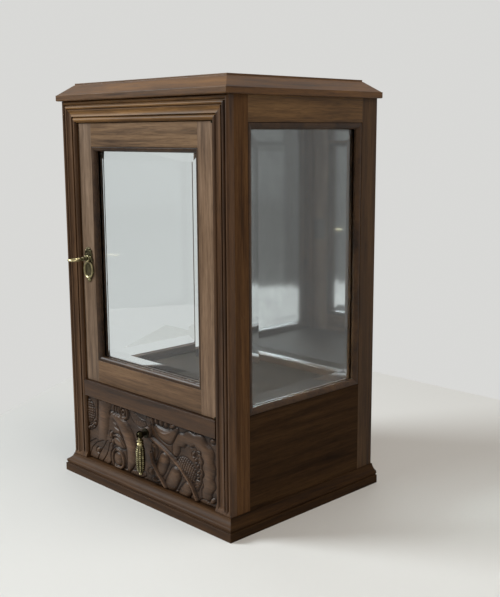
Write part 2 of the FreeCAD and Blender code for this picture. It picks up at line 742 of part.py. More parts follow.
outline = [FreeCAD.Vector(r, pull_y, collar_top + t * L) for r, t in bud_points]
waist = Part.BSplineCurve()
waist.interpolate(outline[5:11])
edges = [Part.makeLine(outline[i], outline[i + 1]) for i in range(5)]
edges.append(waist.toShape())
edges += [Part.makeLine(outline[i], outline[i + 1]) for i in range(10, 13)]
edges.append(Part.makeLine(outline[13], outline[0]))
bud = Part.Face(Part.Wire(edges)).revolve(FreeCAD.Vector(0, pull_y, 0), FreeCAD.Vector(0, 0, 1), 360)
drop = fused([eye, tongue, bud])
nodes["pull_drop"] = drop.cut(cyl_x(pull_y, pull_height, pull_pin_r + pull_pin_clearance, -4.0, 4.0))

os.makedirs("parts", exist_ok=True)
for name, shape in nodes.items():
    shape.exportStep("parts/" + name + ".step")
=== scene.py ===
import math

import bmesh
import bpy
import numpy as np
from mathutils import Matrix, Vector


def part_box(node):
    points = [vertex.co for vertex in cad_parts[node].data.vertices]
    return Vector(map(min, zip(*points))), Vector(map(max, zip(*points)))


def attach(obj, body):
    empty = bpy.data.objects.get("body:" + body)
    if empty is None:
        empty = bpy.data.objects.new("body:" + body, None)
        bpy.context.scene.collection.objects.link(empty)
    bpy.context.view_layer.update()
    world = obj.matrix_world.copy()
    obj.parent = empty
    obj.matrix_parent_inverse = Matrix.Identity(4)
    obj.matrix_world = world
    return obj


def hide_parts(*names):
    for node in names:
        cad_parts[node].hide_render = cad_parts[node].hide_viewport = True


bl_info = {
    "name": "Carved table-top display case",
    "version": (1, 0, 0),
    "blender": (4, 5, 0),
    "location": "View3D > Sidebar > Display case",
    "description": "Finishes, carving and metalwork of a glazed table-top case",
    "category": "Object",
}

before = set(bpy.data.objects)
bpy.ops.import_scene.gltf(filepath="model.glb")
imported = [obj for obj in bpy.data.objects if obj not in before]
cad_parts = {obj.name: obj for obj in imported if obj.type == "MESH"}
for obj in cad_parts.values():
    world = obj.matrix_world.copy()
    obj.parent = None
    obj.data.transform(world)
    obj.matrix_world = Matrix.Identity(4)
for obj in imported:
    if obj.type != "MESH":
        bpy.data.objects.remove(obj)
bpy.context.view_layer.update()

MM = 0.001
# Width of the sloped strips round the edge of the top
TOP_STRIP = 17.3 * MM

# How far the figure is drawn out along the grain, and how much larger it is in the beads
ALONG_GRAIN, IN_BEADS = 0.05, 0.3
# Step through the figure from one board to the next
BOARD_STEP = (0.37, 0.23, 0.51)
# Share of the fine streaks in the figure, and of the pores in the colour
STREAK_SHARE, PORE_SHARE = 0.42, 0.55
# How much patches and rubbing brighten worn brass, and how bright its darkest hollows stay
PATCH_SHARE, RUBBED_SHARE, LEAST_BRIGHT = 0.55, 0.42, 0.02


def pair(name):
    """Names of the left and the right piece of a pair."""
    return [name + "_left", name + "_right"]


# Which way the grain runs in each piece of the show wood; the beads run round their frames
GRAIN = {
    "X": ["base_moulding_front", "front_moulding_top", "front_top_rail", "divider_rail", "door_rail_top",
          "door_rail_bottom", "door_stop"],
    "Y": pair("base_moulding") + pair("side_top_rail") + pair("side_bottom_rail"),
    "Z": pair("front_post") + pair("front_moulding") + pair("rear_stile") + pair("door_stile"),
    "mitred": ["top_board"],
    "round": ["door_outer_beads", "door_inner_beads", *pair("side_outer_beads"), *pair("side_inner_beads"),
              "mirror_beads"],
}
# Red, green and blue strength of boards that are darker, paler, warmer or greyer than the rest. Much of it is
# painted light: boards in shadow or facing away from the window are darkened as painted shade (the base partly also
# for real dirt), and the door stiles, the door's top rail and the top moulding are paled as a painted sheen of the
# window.
# A pair whose two boards match goes by its shared name.
TONE_AND_PAINTED_LIGHT = {
    "base_moulding_front": (0.42, 0.36, 0.28), "base_moulding_left": (0.42, 0.36, 0.28),
    "base_moulding_right": (0.28, 0.25, 0.19), "side_bottom_rail": (0.29, 0.27, 0.22),
    "side_top_rail": (1.00, 1.01, 0.88), "rear_stile": (0.50, 0.49, 0.45), "front_post": (0.70, 0.62, 0.50),
    "front_moulding_left": (0.72, 0.67, 0.62), "front_moulding_right": (0.60, 0.52, 0.43),
    "front_moulding_top": (1.66, 1.60, 1.18), "divider_rail": (0.42, 0.35, 0.28), "top_board": (0.98, 0.86, 0.59),
    "door_stile_left": (1.34, 1.66, 2.40), "door_stile_right": (1.48, 1.72, 2.30),
    "door_rail_top": (1.44, 1.58, 1.75), "door_rail_bottom": (0.96, 1.00, 1.10),
    "door_outer_beads": (0.38, 0.36, 0.36), "door_inner_beads": (0.38, 0.36, 0.36),
    "side_outer_beads": (0.36, 0.32, 0.26), "side_inner_beads": (0.45, 0.42, 0.38),
    "mirror_beads": (0.40, 0.38, 0.36),
}
EVEN_TONE = (1.0, 1.0, 1.0)
CARVED_TONE = (0.65, 0.66, 0.73)
# Boards whose polish has gone dull, and by how much
DULL = {
    "base_moulding_front": 0.16, "base_moulding_left": 0.16, "base_moulding_right": 0.28, "front_moulding_top": 0.12,
    "side_bottom_rail": 0.30, "rear_stile": 0.12, "front_post": 0.22, "side_top_rail": 0.08,
}
PLAIN_WOOD = {
    "X": ["drawer_back", "drawer_bottom", "plinth_board"],
    "Y": pair("drawer_side") + ["drawer_runners", "drawer_stops", "floor_kickers"],
    "Z": ["back_board"],
}
BRASS_NODES = ["strike_plate", "pull_pin"]
# The pull post's dark brass is painted shade.
DARK_BRASS_NODES = ["pull_post", "upper_frame_pivot", "lower_frame_pivot", "upper_door_pivot", "lower_door_pivot"]
STEEL_NODES = ["lock_case", "lock_cover", "lock_bolt", "pull_nut"]
GLASS_NODES = ["door_glass"] + pair("side_glass")


def of_board(table, name, usual):
    """What a table says of a board, by its own name or its pair's, or else the usual value."""
    shared = name.removesuffix("_left").removesuffix("_right")
    return table.get(name, table.get(shared, usual))


def colour(name, words, default):
    """A colour that a user may change."""
    return bpy.props.FloatVectorProperty(name=name, description=words, default=default, subtype="COLOR",
                                         size=3, min=0.0, max=1.0)


def length(name, words, default):
    """A size in metres that a user may change."""
    return bpy.props.FloatProperty(name=name, description=words, default=default, unit="LENGTH", precision=5)


def factor(name, words, default):
    """A share from 0 to 1 that a user may change."""
    return bpy.props.FloatProperty(name=name, description=words, default=default, min=0.0, max=1.0,
                                   subtype="FACTOR")


class TimberFinish(bpy.types.PropertyGroup):
    dark: colour("Dark grain", "Darkest streaks of the walnut", (0.034, 0.0155, 0.0062))
    middle: colour("Middle grain", "Main colour of the walnut", (0.115, 0.0585, 0.0250))
    light: colour("Light grain", "Palest streaks of the walnut", (0.205, 0.1120, 0.0520))
    plain: colour("Plain wood", "Unpolished wood inside and behind", (0.230, 0.130, 0.063))
    stained: colour("Stained floor", "Dull dark floor of the show space", (0.026, 0.017, 0.011))
    gloss: factor("Roughness", "Roughness of the polished walnut", 0.38)
    sheen: factor("Sheen", "How strongly the polish mirrors the room", 0.24)
    figure: length("Figure width", "Width of the broad figure across the grain", 0.013)
    pores: length("Pore width", "Spacing of the fine pores across the grain", 0.0007)
    soft_edge: length("Softened edge", "How far worn edges catch the light", 0.0007)


class MetalFinish(bpy.types.PropertyGroup):
    bright: colour("Rubbed brass", "Brass where hands have rubbed it", (0.29, 0.25, 0.135))
    tarnish: colour("Tarnished brass", "Brass gone dull in the hollows", (0.034, 0.027, 0.013))
    polished: colour("Polished brass", "Brass of the key, bright from use", (0.66, 0.56, 0.31))
    steel: colour("Lock steel", "Lock case and nut", (0.115, 0.105, 0.095))


class GlazingFinish(bpy.types.PropertyGroup):
    tint: colour("Glass tint", "Faint green of old plate glass", (0.955, 0.985, 0.99))
    silver: colour("Mirror silver", "Colour of the silvering", (0.80, 0.82, 0.82))


class CarvingSizes(bpy.types.PropertyGroup):
    depth: length("Carving depth", "From the face of the drawer to the sunk ground", 0.0042)
    cell: length("Carving detail", "Size of the facets of the carved surface", 0.00062)
    groove: length("Outline groove", "Width of the cut round each leaf", 0.0016)


class PullSizes(bpy.types.PropertyGroup):
    ribs: bpy.props.IntProperty(name="Ribs", description="Ribs round the hanging bud", default=8, min=3)
    rib_height: length("Rib height", "How far the ribs stand up", 0.0007)
    notch: length("Notch pitch", "Spacing of the notches along each rib", 0.0026)


class StageSettings(bpy.types.PropertyGroup):
    floor: colour("Floor", "Pale floor", (0.72, 0.71, 0.69))
    card: colour("Side card", "Grey card out of view at the left, seen in the mirror", (0.12, 0.122, 0.125))
    wall: colour("Background", "Pale wall behind the case", (0.69, 0.69, 0.675))
    window: bpy.props.FloatProperty(name="Window light", description="Power of the large light at the left",
                                    default=84.0, unit="POWER")
    ceiling: bpy.props.FloatProperty(name="Ceiling light", description="Power of the light overhead",
                                     default=18.0, unit="POWER")
    sky: bpy.props.FloatProperty(name="Room light", description="Strength of the even light all round",
                                 default=0.22)
    eye: bpy.props.FloatVectorProperty(name="Camera place", description="Where the camera stands",
                                       default=(0.853413, -0.772289, 0.439469), subtype="XYZ", unit="LENGTH")
    view: bpy.props.FloatVectorProperty(name="View direction", description="Where the camera looks",
                                        default=(-0.70639, 0.68555, -0.17619), subtype="DIRECTION")
    roll: bpy.props.FloatProperty(name="Roll", description="Tilt of the camera about its line of sight",
                                  default=math.radians(-0.319), subtype="ANGLE")
    lens: bpy.props.FloatProperty(name="Focal length", description="Lens for a 36 mm sensor", default=55.9,
                                  subtype="DISTANCE_CAMERA")


def new_material(name):
    """A material with its node tree and its Principled shader."""
    material = bpy.data.materials.new(name)
    material.use_nodes = True
    tree = material.node_tree
    return material, tree, tree.nodes["Principled BSDF"]


def add(tree, kind, **values):
    """A node with its settings: attributes by name, sockets by their label."""
    node = tree.nodes.new(kind)
    for key, value in values.items():
        label = key.replace("_", " ").title()
        if hasattr(node, key):
            setattr(node, key, value)
        else:
            node.inputs[label].default_value = value
    return node


def ramp(tree, value, stops):
    """Colours along a value, from stops of (place, colour)."""
    node = tree.nodes.new("ShaderNodeValToRGB")
    marks = node.color_ramp.elements
    while len(marks) < len(stops):
        marks.new(0.5)
    for mark, (place, shade) in zip(marks, stops):
        mark.position = place
        mark.color = (*shade, 1.0)
    tree.links.new(value, node.inputs["Fac"])
    return node.outputs["Color"]


def noise(tree, place, **values):
    """Clouds on the given coordinates."""
    node = add(tree, "ShaderNodeTexNoise", **values)
    tree.links.new(place, node.inputs["Vector"])
    return node.outputs["Fac"]


def between(tree, value, low, high):
    """A value from 0 to 1 spread from low to high."""
    node = add(tree, "ShaderNodeMapRange", to_min=low, to_max=high)
    tree.links.new(value, node.inputs["Value"])
    return node.outputs["Result"]


def reckon(tree, operation, *values):
    """The result of a sum on sockets and plain numbers."""
    node = add(tree, "ShaderNodeMath", operation=operation)
    for socket, value in zip(node.inputs, values):
        if isinstance(value, bpy.types.NodeSocket):
            tree.links.new(value, socket)
        else:
            socket.default_value = value
    return node.outputs["Value"]


def multiply(tree, share, under, over):
    """One colour multiplied by a share of another."""
    node = add(tree, "ShaderNodeMix", data_type="RGBA", blend_type="MULTIPLY")
    node.inputs[0].default_value = share
    tree.links.new(under, node.inputs[6])
    tree.links.new(over, node.inputs[7])
    return node.outputs[2]


def roughen(tree, shader, height, strength, distance, edges=None):
    """Fine bumps on a finish, laid over its softened edges where given."""
    bump = add(tree, "ShaderNodeBump", strength=strength, distance=distance)
    tree.links.new(height, bump.inputs["Height"])
    if edges is not None:
        tree.links.new(edges, bump.inputs["Normal"])
    tree.links.new(bump.outputs["Normal"], shader.inputs["Normal"])


def choose_shader(tree, share, first, second, output):
    """Shows the first shader where share is 0 and the second where it is 1."""
    mix = tree.nodes.new("ShaderNodeMixShader")
    for socket, given in zip(mix.inputs, (share, first, second)):
        tree.links.new(given, socket)
    tree.links.new(mix.outputs["Shader"], tree.nodes[output].inputs["Surface"])


def on_piece(tree):
    """Coordinates that stay with a piece."""
    return tree.nodes.new("ShaderNodeTexCoord").outputs["Object"]


def scaled(tree, place, scale, shift=(0.0, 0.0, 0.0)):
    """Coordinates scaled and moved."""
    node = tree.nodes.new("ShaderNodeMapping")
    node.inputs["Scale"].default_value = scale
    node.inputs["Location"].default_value = shift
    tree.links.new(place, node.inputs["Vector"])
    return node.outputs["Vector"]


def wood_coordinates(tree, grain, shift):
    """Object coordinates drawn out along the grain, moved so that boards differ."""
    place = on_piece(tree)
    move = [step * shift for step in BOARD_STEP]

    def along(run):
        return scaled(tree, place, [ALONG_GRAIN if axis == run else 1.0 for axis in "XYZ"], move)

    if grain == "round":
        return scaled(tree, place, [IN_BEADS] * 3, move)
    if grain == "mitred":
        choose = add(tree, "ShaderNodeMix", data_type="VECTOR")
        tree.links.new(end_strips(tree, place), choose.inputs[0])
        tree.links.new(along("X"), choose.inputs[4])
        tree.links.new(along("Y"), choose.inputs[5])
        return choose.outputs[1]
    return along(grain)


def end_strips(tree, place):
    """1 on the mitred strips along the two ends of the top, 0 elsewhere."""
    low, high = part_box("top_board")
    apart = tree.nodes.new("ShaderNodeSeparateXYZ")
    tree.links.new(place, apart.inputs["Vector"])

    def inwards(label, axis):
        off = reckon(tree, "SUBTRACT", apart.outputs[label], (low[axis] + high[axis]) / 2)
        return reckon(tree, "SUBTRACT", (high[axis] - low[axis]) / 2, reckon(tree, "ABSOLUTE", off))

    ends, sides = inwards("X", 0), inwards("Y", 1)
    corner = reckon(tree, "LESS_THAN", ends, sides)
    strip = reckon(tree, "LESS_THAN", ends, TOP_STRIP)
    return reckon(tree, "MULTIPLY", corner, strip)


def walnut(grain, shift, tone=EVEN_TONE, carved=False, dull=0.0):
    """Polished walnut: broad figure, fine streaks, pores and softened edges.

    tone darkens, pales or tints a board, for many boards as painted light and shade, dull takes off its polish, and
    carved paints grime and shade into the hollows and a pale bluish sheen onto the crowns.
    """
    finish = ("_carved" if carved else "") + ("_dull_%d" % round(dull * 100) if dull else "")
    name = "walnut_%s_%d_%s%s" % (grain, shift, "_".join("%d" % round(t * 100) for t in tone), finish)
    if name in bpy.data.materials:
        return bpy.data.materials[name]
    look = bpy.context.scene.case_timber
    material, tree, shader = new_material(name)
    link = tree.links.new
    place = wood_coordinates(tree, grain, shift)
    figure = noise(tree, place, scale=1.0 / look.figure, detail=3.0, roughness=0.55, distortion=0.5)
    streak = noise(tree, place, scale=5.0 / look.figure, detail=4.0, roughness=0.6)
    pore = noise(tree, place, scale=1.0 / look.pores, detail=2.0, roughness=0.5)
    both = add(tree, "ShaderNodeMix", data_type="FLOAT")
    both.inputs[0].default_value = STREAK_SHARE
    link(figure, both.inputs[2])
    link(streak, both.inputs[3])
    stops = ((0.32, look.dark), (0.50, look.middle), (0.70, look.light))
    shades = ramp(tree, both.outputs[0], [(at, [c * t for c, t in zip(shade, tone)]) for at, shade in stops])
    specks = ramp(tree, pore, [(0.34, (0.45, 0.42, 0.40)), (0.47, EVEN_TONE)])
    top = multiply(tree, PORE_SHARE, shades, specks)
    if carved:
        # Painted shade and grime darken the carving's hollows by their depth, and a painted pale bluish sheen
        # lightens its highest crowns.
        hollow = add(tree, "ShaderNodeAttribute", attribute_name="relief").outputs["Fac"]
        grime_shade_and_sheen = ramp(tree, hollow, [(0.0, (0.15, 0.12, 0.11)), (0.28, (0.62, 0.58, 0.58)),
                                    (0.80, (0.92, 0.90, 0.92)), (1.0, (1.42, 1.42, 1.56))])
        top = multiply(tree, 1.0, top, grime_shade_and_sheen)
    link(top, shader.inputs["Base Color"])
    polish = between(tree, streak, look.gloss - 0.08 + dull, look.gloss + 0.14 + dull)
    link(polish, shader.inputs["Roughness"])
    shader.inputs["Specular IOR Level"].default_value = look.sheen * (1.0 - 2.5 * dull)
    soft = None if carved else add(tree, "ShaderNodeBevel", samples=6, radius=look.soft_edge).outputs["Normal"]
    roughen(tree, shader, pore, 0.22, 0.3 * MM, soft)
    return material


def plain_wood(grain, shift, stained=False):
    """Unpolished inner wood with a mild figure, left pale or stained dark."""
    name = "%s_wood_%s_%d" % ("stained" if stained else "plain", grain, shift)
    if name in bpy.data.materials:
        return bpy.data.materials[name]
    look = bpy.context.scene.case_timber
    material, tree, shader = new_material(name)
    place = wood_coordinates(tree, grain, shift + 11)
    figure = noise(tree, place, scale=0.6 / look.figure, detail=5.0, roughness=0.62, distortion=0.3)
    base = Vector(look.stained if stained else look.plain)
    tone = ramp(tree, figure, [(0.30, base * 0.55), (0.55, base), (0.75, base * 1.3)])
    tree.links.new(tone, shader.inputs["Base Color"])
    shader.inputs["Roughness"].default_value = 0.75
    shader.inputs["Specular IOR Level"].default_value = 0.04 if stained else 0.3
    if not stained:
        pore = noise(tree, place, scale=0.7 / look.pores, detail=2.0)
        roughen(tree, shader, pore, 0.3, 0.3 * MM)
    return material


def aged_brass(worn=False):
    """Cast brass, bright where it is rubbed and brown in patches or, where worn, in its hollows."""
    name = "worn_brass" if worn else "aged_brass"
    if name in bpy.data.materials:
        return bpy.data.materials[name]
    look = bpy.context.scene.case_metal
    material, tree, shader = new_material(name)
    place = on_piece(tree)
    cloud = noise(tree, place, scale=230.0, detail=4.0, roughness=0.6)
    grit = noise(tree, place, scale=1400.0, detail=2.0)
    shade = cloud
    if worn:
        rubbed = add(tree, "ShaderNodeAttribute", attribute_name="wear").outputs["Fac"]
        spread = reckon(tree, "MULTIPLY_ADD", rubbed, RUBBED_SHARE, LEAST_BRIGHT)
        shade = reckon(tree, "MULTIPLY_ADD", cloud, PATCH_SHARE, spread)
    tone = ramp(tree, shade, [(0.36, look.tarnish), (0.62, look.bright), (0.78, look.polished)])
    tree.links.new(tone, shader.inputs["Base Color"])
    shader.inputs["Metallic"].default_value = 1.0
    tree.links.new(between(tree, cloud, 0.42, 0.24), shader.inputs["Roughness"])
    roughen(tree, shader, grit, 0.12, 0.2 * MM)
    return material


def clouded_metal(name, base, stops, rough, stretch=(1.0, 1.0, 1.0), **cloud):
    """A bare metal, clouded or scratched. stops are (place, share of the base colour).

    rough is one roughness all over, or a pair that it runs between with the clouds.
    """
    if name in bpy.data.materials:
        return bpy.data.materials[name]
    material, tree, shader = new_material(name)
    shade = noise(tree, scaled(tree, on_piece(tree), stretch), **cloud)
    tone = ramp(tree, shade, [(place, Vector(base) * share) for place, share in stops])
    tree.links.new(tone, shader.inputs["Base Color"])
    shader.inputs["Metallic"].default_value = 1.0
    if isinstance(rough, tuple):
        tree.links.new(between(tree, shade, *rough), shader.inputs["Roughness"])
    else:
        shader.inputs["Roughness"].default_value = rough
    return material


def dark_brass():
    """Pivot plates gone nearly as dark as the wood round them, and the pull post, darkened as painted shade."""
    base = bpy.context.scene.case_metal.tarnish
    return clouded_metal("dark_brass", base, [(0.35, 0.45), (0.65, 0.9)], 0.5, scale=260.0, detail=3.0)


def lock_steel():
    """Drawn steel with fine upright scratches."""
    base = bpy.context.scene.case_metal.steel
    return clouded_metal("lock_steel", base, [(0.3, 0.7), (0.7, 1.15)], 0.38, stretch=(1.0, 1.0, 0.04),
                         scale=2600.0, detail=2.0)


def old_mirror():
    """Silvered glass with a faint cloudiness."""
    base = bpy.context.scene.case_glazing.silver
    return clouded_metal("old_mirror", base, [(0.30, 0.86), (0.60, 1.0)], (0.10, 0.03), scale=22.0, detail=5.0,
                         roughness=0.6)


def plate_glass():
    """Clear bevelled glass that lets lamps through to the inside."""
    if "plate_glass" in bpy.data.materials:
        return bpy.data.materials["plate_glass"]
    look = bpy.context.scene.case_glazing
    material, tree, shader = new_material("plate_glass")
    shader.inputs["Base Color"].default_value = (*look.tint, 1.0)
    shader.inputs["Roughness"].default_value = 0.0
    shader.inputs["IOR"].default_value = 1.5
    shader.inputs["Transmission Weight"].default_value = 1.0
    clear = tree.nodes.new("ShaderNodeBsdfTransparent")
    clear.inputs["Color"].default_value = (0.92, 0.94, 0.94, 1.0)
    lamp = tree.nodes.new("ShaderNodeLightPath").outputs["Is Shadow Ray"]
    choose_shader(tree, lamp, shader.outputs["BSDF"], clear.outputs["BSDF"], "Material Output")
    return material


def dress(names, material):
    """Gives a finish to CAD pieces by name."""
    for name in names:
        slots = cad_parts[name].data.materials
        if slots:
            slots[0] = material
        else:
            slots.append(material)


def finish_piece(name, bm, material, body, replaced=(), sharp=40.0):
    """Makes the mesh an object that rides on a body and stands for CAD nodes."""
    mesh = bpy.data.meshes.new(name)
    bm.to_mesh(mesh)
    bm.free()
    mesh.polygons.foreach_set("use_smooth", [True] * len(mesh.polygons))
    mesh.set_sharp_from_angle(angle=math.radians(sharp))
    mesh.materials.append(material)
    piece = bpy.data.objects.new(name, mesh)
    bpy.context.scene.collection.objects.link(piece)
    if replaced:
        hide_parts(*replaced)
    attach(piece, body)


def brass_mesh():
    """An empty mesh with the layer for wear, made first because a new layer renews the vertices."""
    bm = bmesh.new()
    bm.verts.layers.float.new("wear")
    return bm


def rub(bm, amount):
    """Stores how bright each vertex is rubbed, from 0 in the hollows to 1."""
    layer = bm.verts.layers.float["wear"]
    for v in bm.verts:
        v[layer] = min(max(amount(v), 0.0), 1.0)


def in_mm(outline):
    """An outline given in mm, in metres."""
    return [(r * MM, h * MM) for r, h in outline]


def lathe(bm, outline, centre, axis, radial, steps):
    """Turns an outline of (radius, height) about an axis. Returns the new vertices."""
    centre, axis, radial = Vector(centre), Vector(axis), Vector(radial)
    before = set(bm.verts)
    verts = [bm.verts.new(centre + axis * h + radial * r) for r, h in outline]
    edges = [bm.edges.new(ends) for ends in zip(verts, verts[1:])]
    bmesh.ops.spin(bm, geom=verts + edges, cent=centre, axis=axis, angle=2 * math.pi, steps=steps, use_merge=True)
    fresh = [v for v in bm.verts if v not in before]
    bmesh.ops.remove_doubles(bm, verts=fresh, dist=1e-7)
    return [v for v in bm.verts if v not in before]


def petal(bm, base, angle, reach, width, thick, lean=0.25):
    """A cast leaf lobe on the front of the door: a flattened drop from base outwards."""
    grown = bmesh.ops.create_uvsphere(bm, u_segments=14, v_segments=10, radius=1.0)["verts"]
    for v in grown:
        along = (v.co.z + 1.0) / 2
        # Narrow at the root, bowed off the door and creased down the middle
        v.co.x *= 0.55 + 0.75 * math.sin(math.pi * min(along, 0.8) / 0.95)
        v.co.y -= lean * (1.0 - (2 * along - 1.0) ** 2)
        v.co.y += 0.35 * math.exp(-((v.co.x * 5.0) ** 2))
    bmesh.ops.translate(bm, verts=grown, vec=(0, 0, 1.0))
    bmesh.ops.scale(bm, verts=grown, vec=(width / 2, thick, reach / 2))
    bmesh.ops.rotate(bm, verts=grown, cent=(0, 0, 0), matrix=Matrix.Rotation(angle, 3, "Y"))
    bmesh.ops.translate(bm, verts=grown, vec=base)


class CASE_OT_timber(bpy.types.Operator):
    """Polish the walnut and give the inner boards their plain wood"""
    bl_idname = "case.timber"
    bl_label = "Timber"

    def execute(self, context):
        for grain, names in GRAIN.items():
            for i, name in enumerate(names):
                # Each board's tone carries its painted light and shade as well as its colour.
                tone, dull = of_board(TONE_AND_PAINTED_LIGHT, name, EVEN_TONE), of_board(DULL, name, 0.0)
                dress([name], walnut(grain, i % 6, tone, dull=dull))
        for grain, names in PLAIN_WOOD.items():
            for i, name in enumerate(names):
                dress([name], plain_wood(grain, i % 3))
        dress(["display_floor"], plain_wood("X", 0, stained=True))
        return {"FINISHED"}


class CASE_OT_glazing(bpy.types.Operator):
    """Bevelled panes and the mirror behind the show space"""
    bl_idname = "case.glazing"
    bl_label = "Glass and mirror"

    def execute(self, context):
        dress(GLASS_NODES, plate_glass())
        dress(["back_mirror"], old_mirror())
        return {"FINISHED"}


class CASE_OT_fittings(bpy.types.Operator):
    """Brass pivots, strike and pull post, steel lock"""
    bl_idname = "case.fittings"
    bl_label = "Fittings"

    def execute(self, context):
        dress(BRASS_NODES, aged_brass())
        dress(DARK_BRASS_NODES, dark_brass())
        dress(STEEL_NODES, lock_steel())
        return {"FINISHED"}


# Height that stands for the full depth when the carving is laid out
CARVED_STEPS = 3.6
# Height of the field between the leaves, above the bottom of the cut grooves
GROUND_STEP = 0.9
# Share of the height that is left at the bottom of a cut groove
GROOVE_LEFT = 0.2
# Wood between the deepest cut and the back of the carved skin
BEHIND_CUT = 0.8 * MM
# Radius of the flat spot round the pull's post, in mm
POST_SPOT = 6.4
# Share of the carved height kept at the very edge of the board, and the mm inwards that a full height takes
EDGE_KEPT, EDGE_FALL = 0.35, 1.6
# Height value given to the plain faces at the sides and behind, on the scale of the carved heights, which sets their
# painted shade
SIDE_SHADE = 0.7


class Relief:
    """Heights of a carved face, built up shape by shape over a gently uneven ground. Places are in mm."""

    def __init__(self, x, z, groove):
        self.x, self.z, self.groove = x, z, groove
        self.height = GROUND_STEP + 0.35 * np.sin(x / 6.1 + 0.4) * np.sin(z / 7.3 + x / 19.0)

    def lay(self, top, edge, merged=False):
        """Sets a shape on what is there, with a cut groove round it or merged. edge is the distance outside it."""
        if merged:
            self.height = np.maximum(self.height, np.where(edge < 0.0, top, 0.0))
            return
        beside = np.clip(edge / self.groove, 0.0, 1.0)
        lowered = self.height * (GROOVE_LEFT + (1.0 - GROOVE_LEFT) * beside * beside)
        self.height = np.where(edge < 0.0, top, lowered)

    def trace(self, points, count=70):
        """Nearest place on a smooth line: share of its length, signed distance, and length."""
        pts = np.array([points[0]] + list(points) + [points[-1]], float)
        spans = len(points) - 1
        line = []
        for i in range(spans):
            p0, p1, p2, p3 = pts[i:i + 4]
            for t in np.linspace(0.0, 1.0, count // spans, endpoint=i == spans - 1):
                line.append(0.5 * (2 * p1 + (p2 - p0) * t + (2 * p0 - 5 * p1 + 4 * p2 - p3) * t * t
                                   + (3 * p1 - p0 - 3 * p2 + p3) * t ** 3))
        line = np.array(line)
        steps = np.hypot(*np.diff(line, axis=0).T)
        travelled = np.concatenate([[0.0], np.cumsum(steps)])
        best = np.full_like(self.x, 1e9)
        share = np.zeros_like(self.x)
        side = np.zeros_like(self.x)
        for i, step in enumerate(steps):
            ax, az = line[i]
            dx, dz = (line[i + 1] - line[i]) / max(step, 1e-9)
            px, pz = self.x - ax, self.z - az
            along = np.clip(px * dx + pz * dz, 0.0, step)
            off = np.hypot(px - along * dx, pz - along * dz)
            near = off < best
            best = np.where(near, off, best)
            share = np.where(near, (travelled[i] + along) / travelled[-1], share)
            side = np.where(near, np.sign(dx * pz - dz * px), side)
        return share, best * side, travelled[-1]

    def leaf(self, points, widths, low, high, veins=0.0, slant=0.9, cut=0.35, cup=0.5, teeth=0.0, rise=False,
             merged=False):
        """A leaf along a line. widths are half-widths; low and high its heights at the ends and the crown.

        veins and teeth are the spacing of its cuts and of its wavy edge, cup how hollow it is across, and rise
        puts the crown at the tip.
        """
        share, off, span = self.trace(points)
        wide = np.interp(share, np.linspace(0.0, 1.0, len(widths)), widths)
        if teeth:
            wide = wide * (1.0 + 0.16 * np.sin(2 * np.pi * share * span / teeth))
        across = off / np.maximum(wide, 0.05)
        bow = share if rise else np.sin(np.pi * np.clip(share, 0.02, 0.98)) ** 0.5
        crown = low + (high - low) * bow
        section = (1.0 - cup) * np.sqrt(np.clip(1.0 - across ** 2, 0.0, 1.0)) + cup * (0.55 + 0.45 * across ** 2)
        top = crown * section
        if veins:
            wave = np.cos(2 * np.pi * (share * span - slant * np.abs(off)) / veins)
            top = top - cut * np.clip(wave, 0.0, 1.0) ** 2
        self.lay(np.clip(top, 0.1, CARVED_STEPS), np.abs(off) - wide, merged)

    def stem(self, points, half, high, even=False, flat=0.35):
        """A round rib that thins at both ends, or keeps its width where even. flat is its height at the edges."""
        share, off, _ = self.trace(points)
        thin = 1.0 if even else np.clip(np.sin(np.pi * np.clip(share, 0.03, 0.97)) ** 0.25, 0.4, 1.0)
        wide = half * thin
        top = high * (flat + (1.0 - flat) * np.sqrt(np.clip(1.0 - (off / wide) ** 2, 0.0, 1.0)))
        self.lay(top, np.abs(off) - wide)

    def pod(self, cx, cz, rx, rz, turn, high, net=0.0, merged=False):
        """A smooth swollen pod, or one cut with a net of grooves."""
        c, s = math.cos(math.radians(turn)), math.sin(math.radians(turn))
        u = ((self.x - cx) * c + (self.z - cz) * s) / rx
        v = ((self.z - cz) * c - (self.x - cx) * s) / rz
        r = np.sqrt(u * u + v * v)
        top = high * (0.25 + 0.75 * np.sqrt(np.clip(1.0 - r * r, 0.0, 1.0)))
        if net:
            top = np.minimum(top, 0.85 * high) - 1.9 * self.mesh_cut(net, c, s)
        self.lay(np.clip(top, 0.1, CARVED_STEPS), (r - 1.0) * min(rx, rz), merged)

    def mesh_cut(self, pitch, c, s):
        """Crossed rows of fine grooves."""
        rows = np.cos(2 * np.pi * (self.x * c + self.z * s) / pitch)
        lines = np.cos(2 * np.pi * (self.z * c - self.x * s) / pitch)
        return np.clip(np.maximum(rows, lines) - 0.35, 0.0, 1.0)

    def ring(self, cx, cz, radius, half, high):
        """A round raised ring."""
        points = [(cx + radius * math.cos(math.radians(a)), cz + radius * math.sin(math.radians(a)))
                  for a in range(0, 361, 30)]
        self.stem(points, half, high, even=True)

    def punch_ground(self):
        """Punched ground between the leaves."""
        rough = np.sin(self.x * 2.1 + 1.7 * np.sin(self.z * 1.3 + 0.4)) * np.sin(self.z * 2.4 + np.sin(self.x * 1.6))
        bare = np.clip(1.6 - self.height, 0.0, 1.0) * np.clip(self.height / GROUND_STEP, 0.0, 1.0)
        self.height = self.height + 0.16 * bare * rough


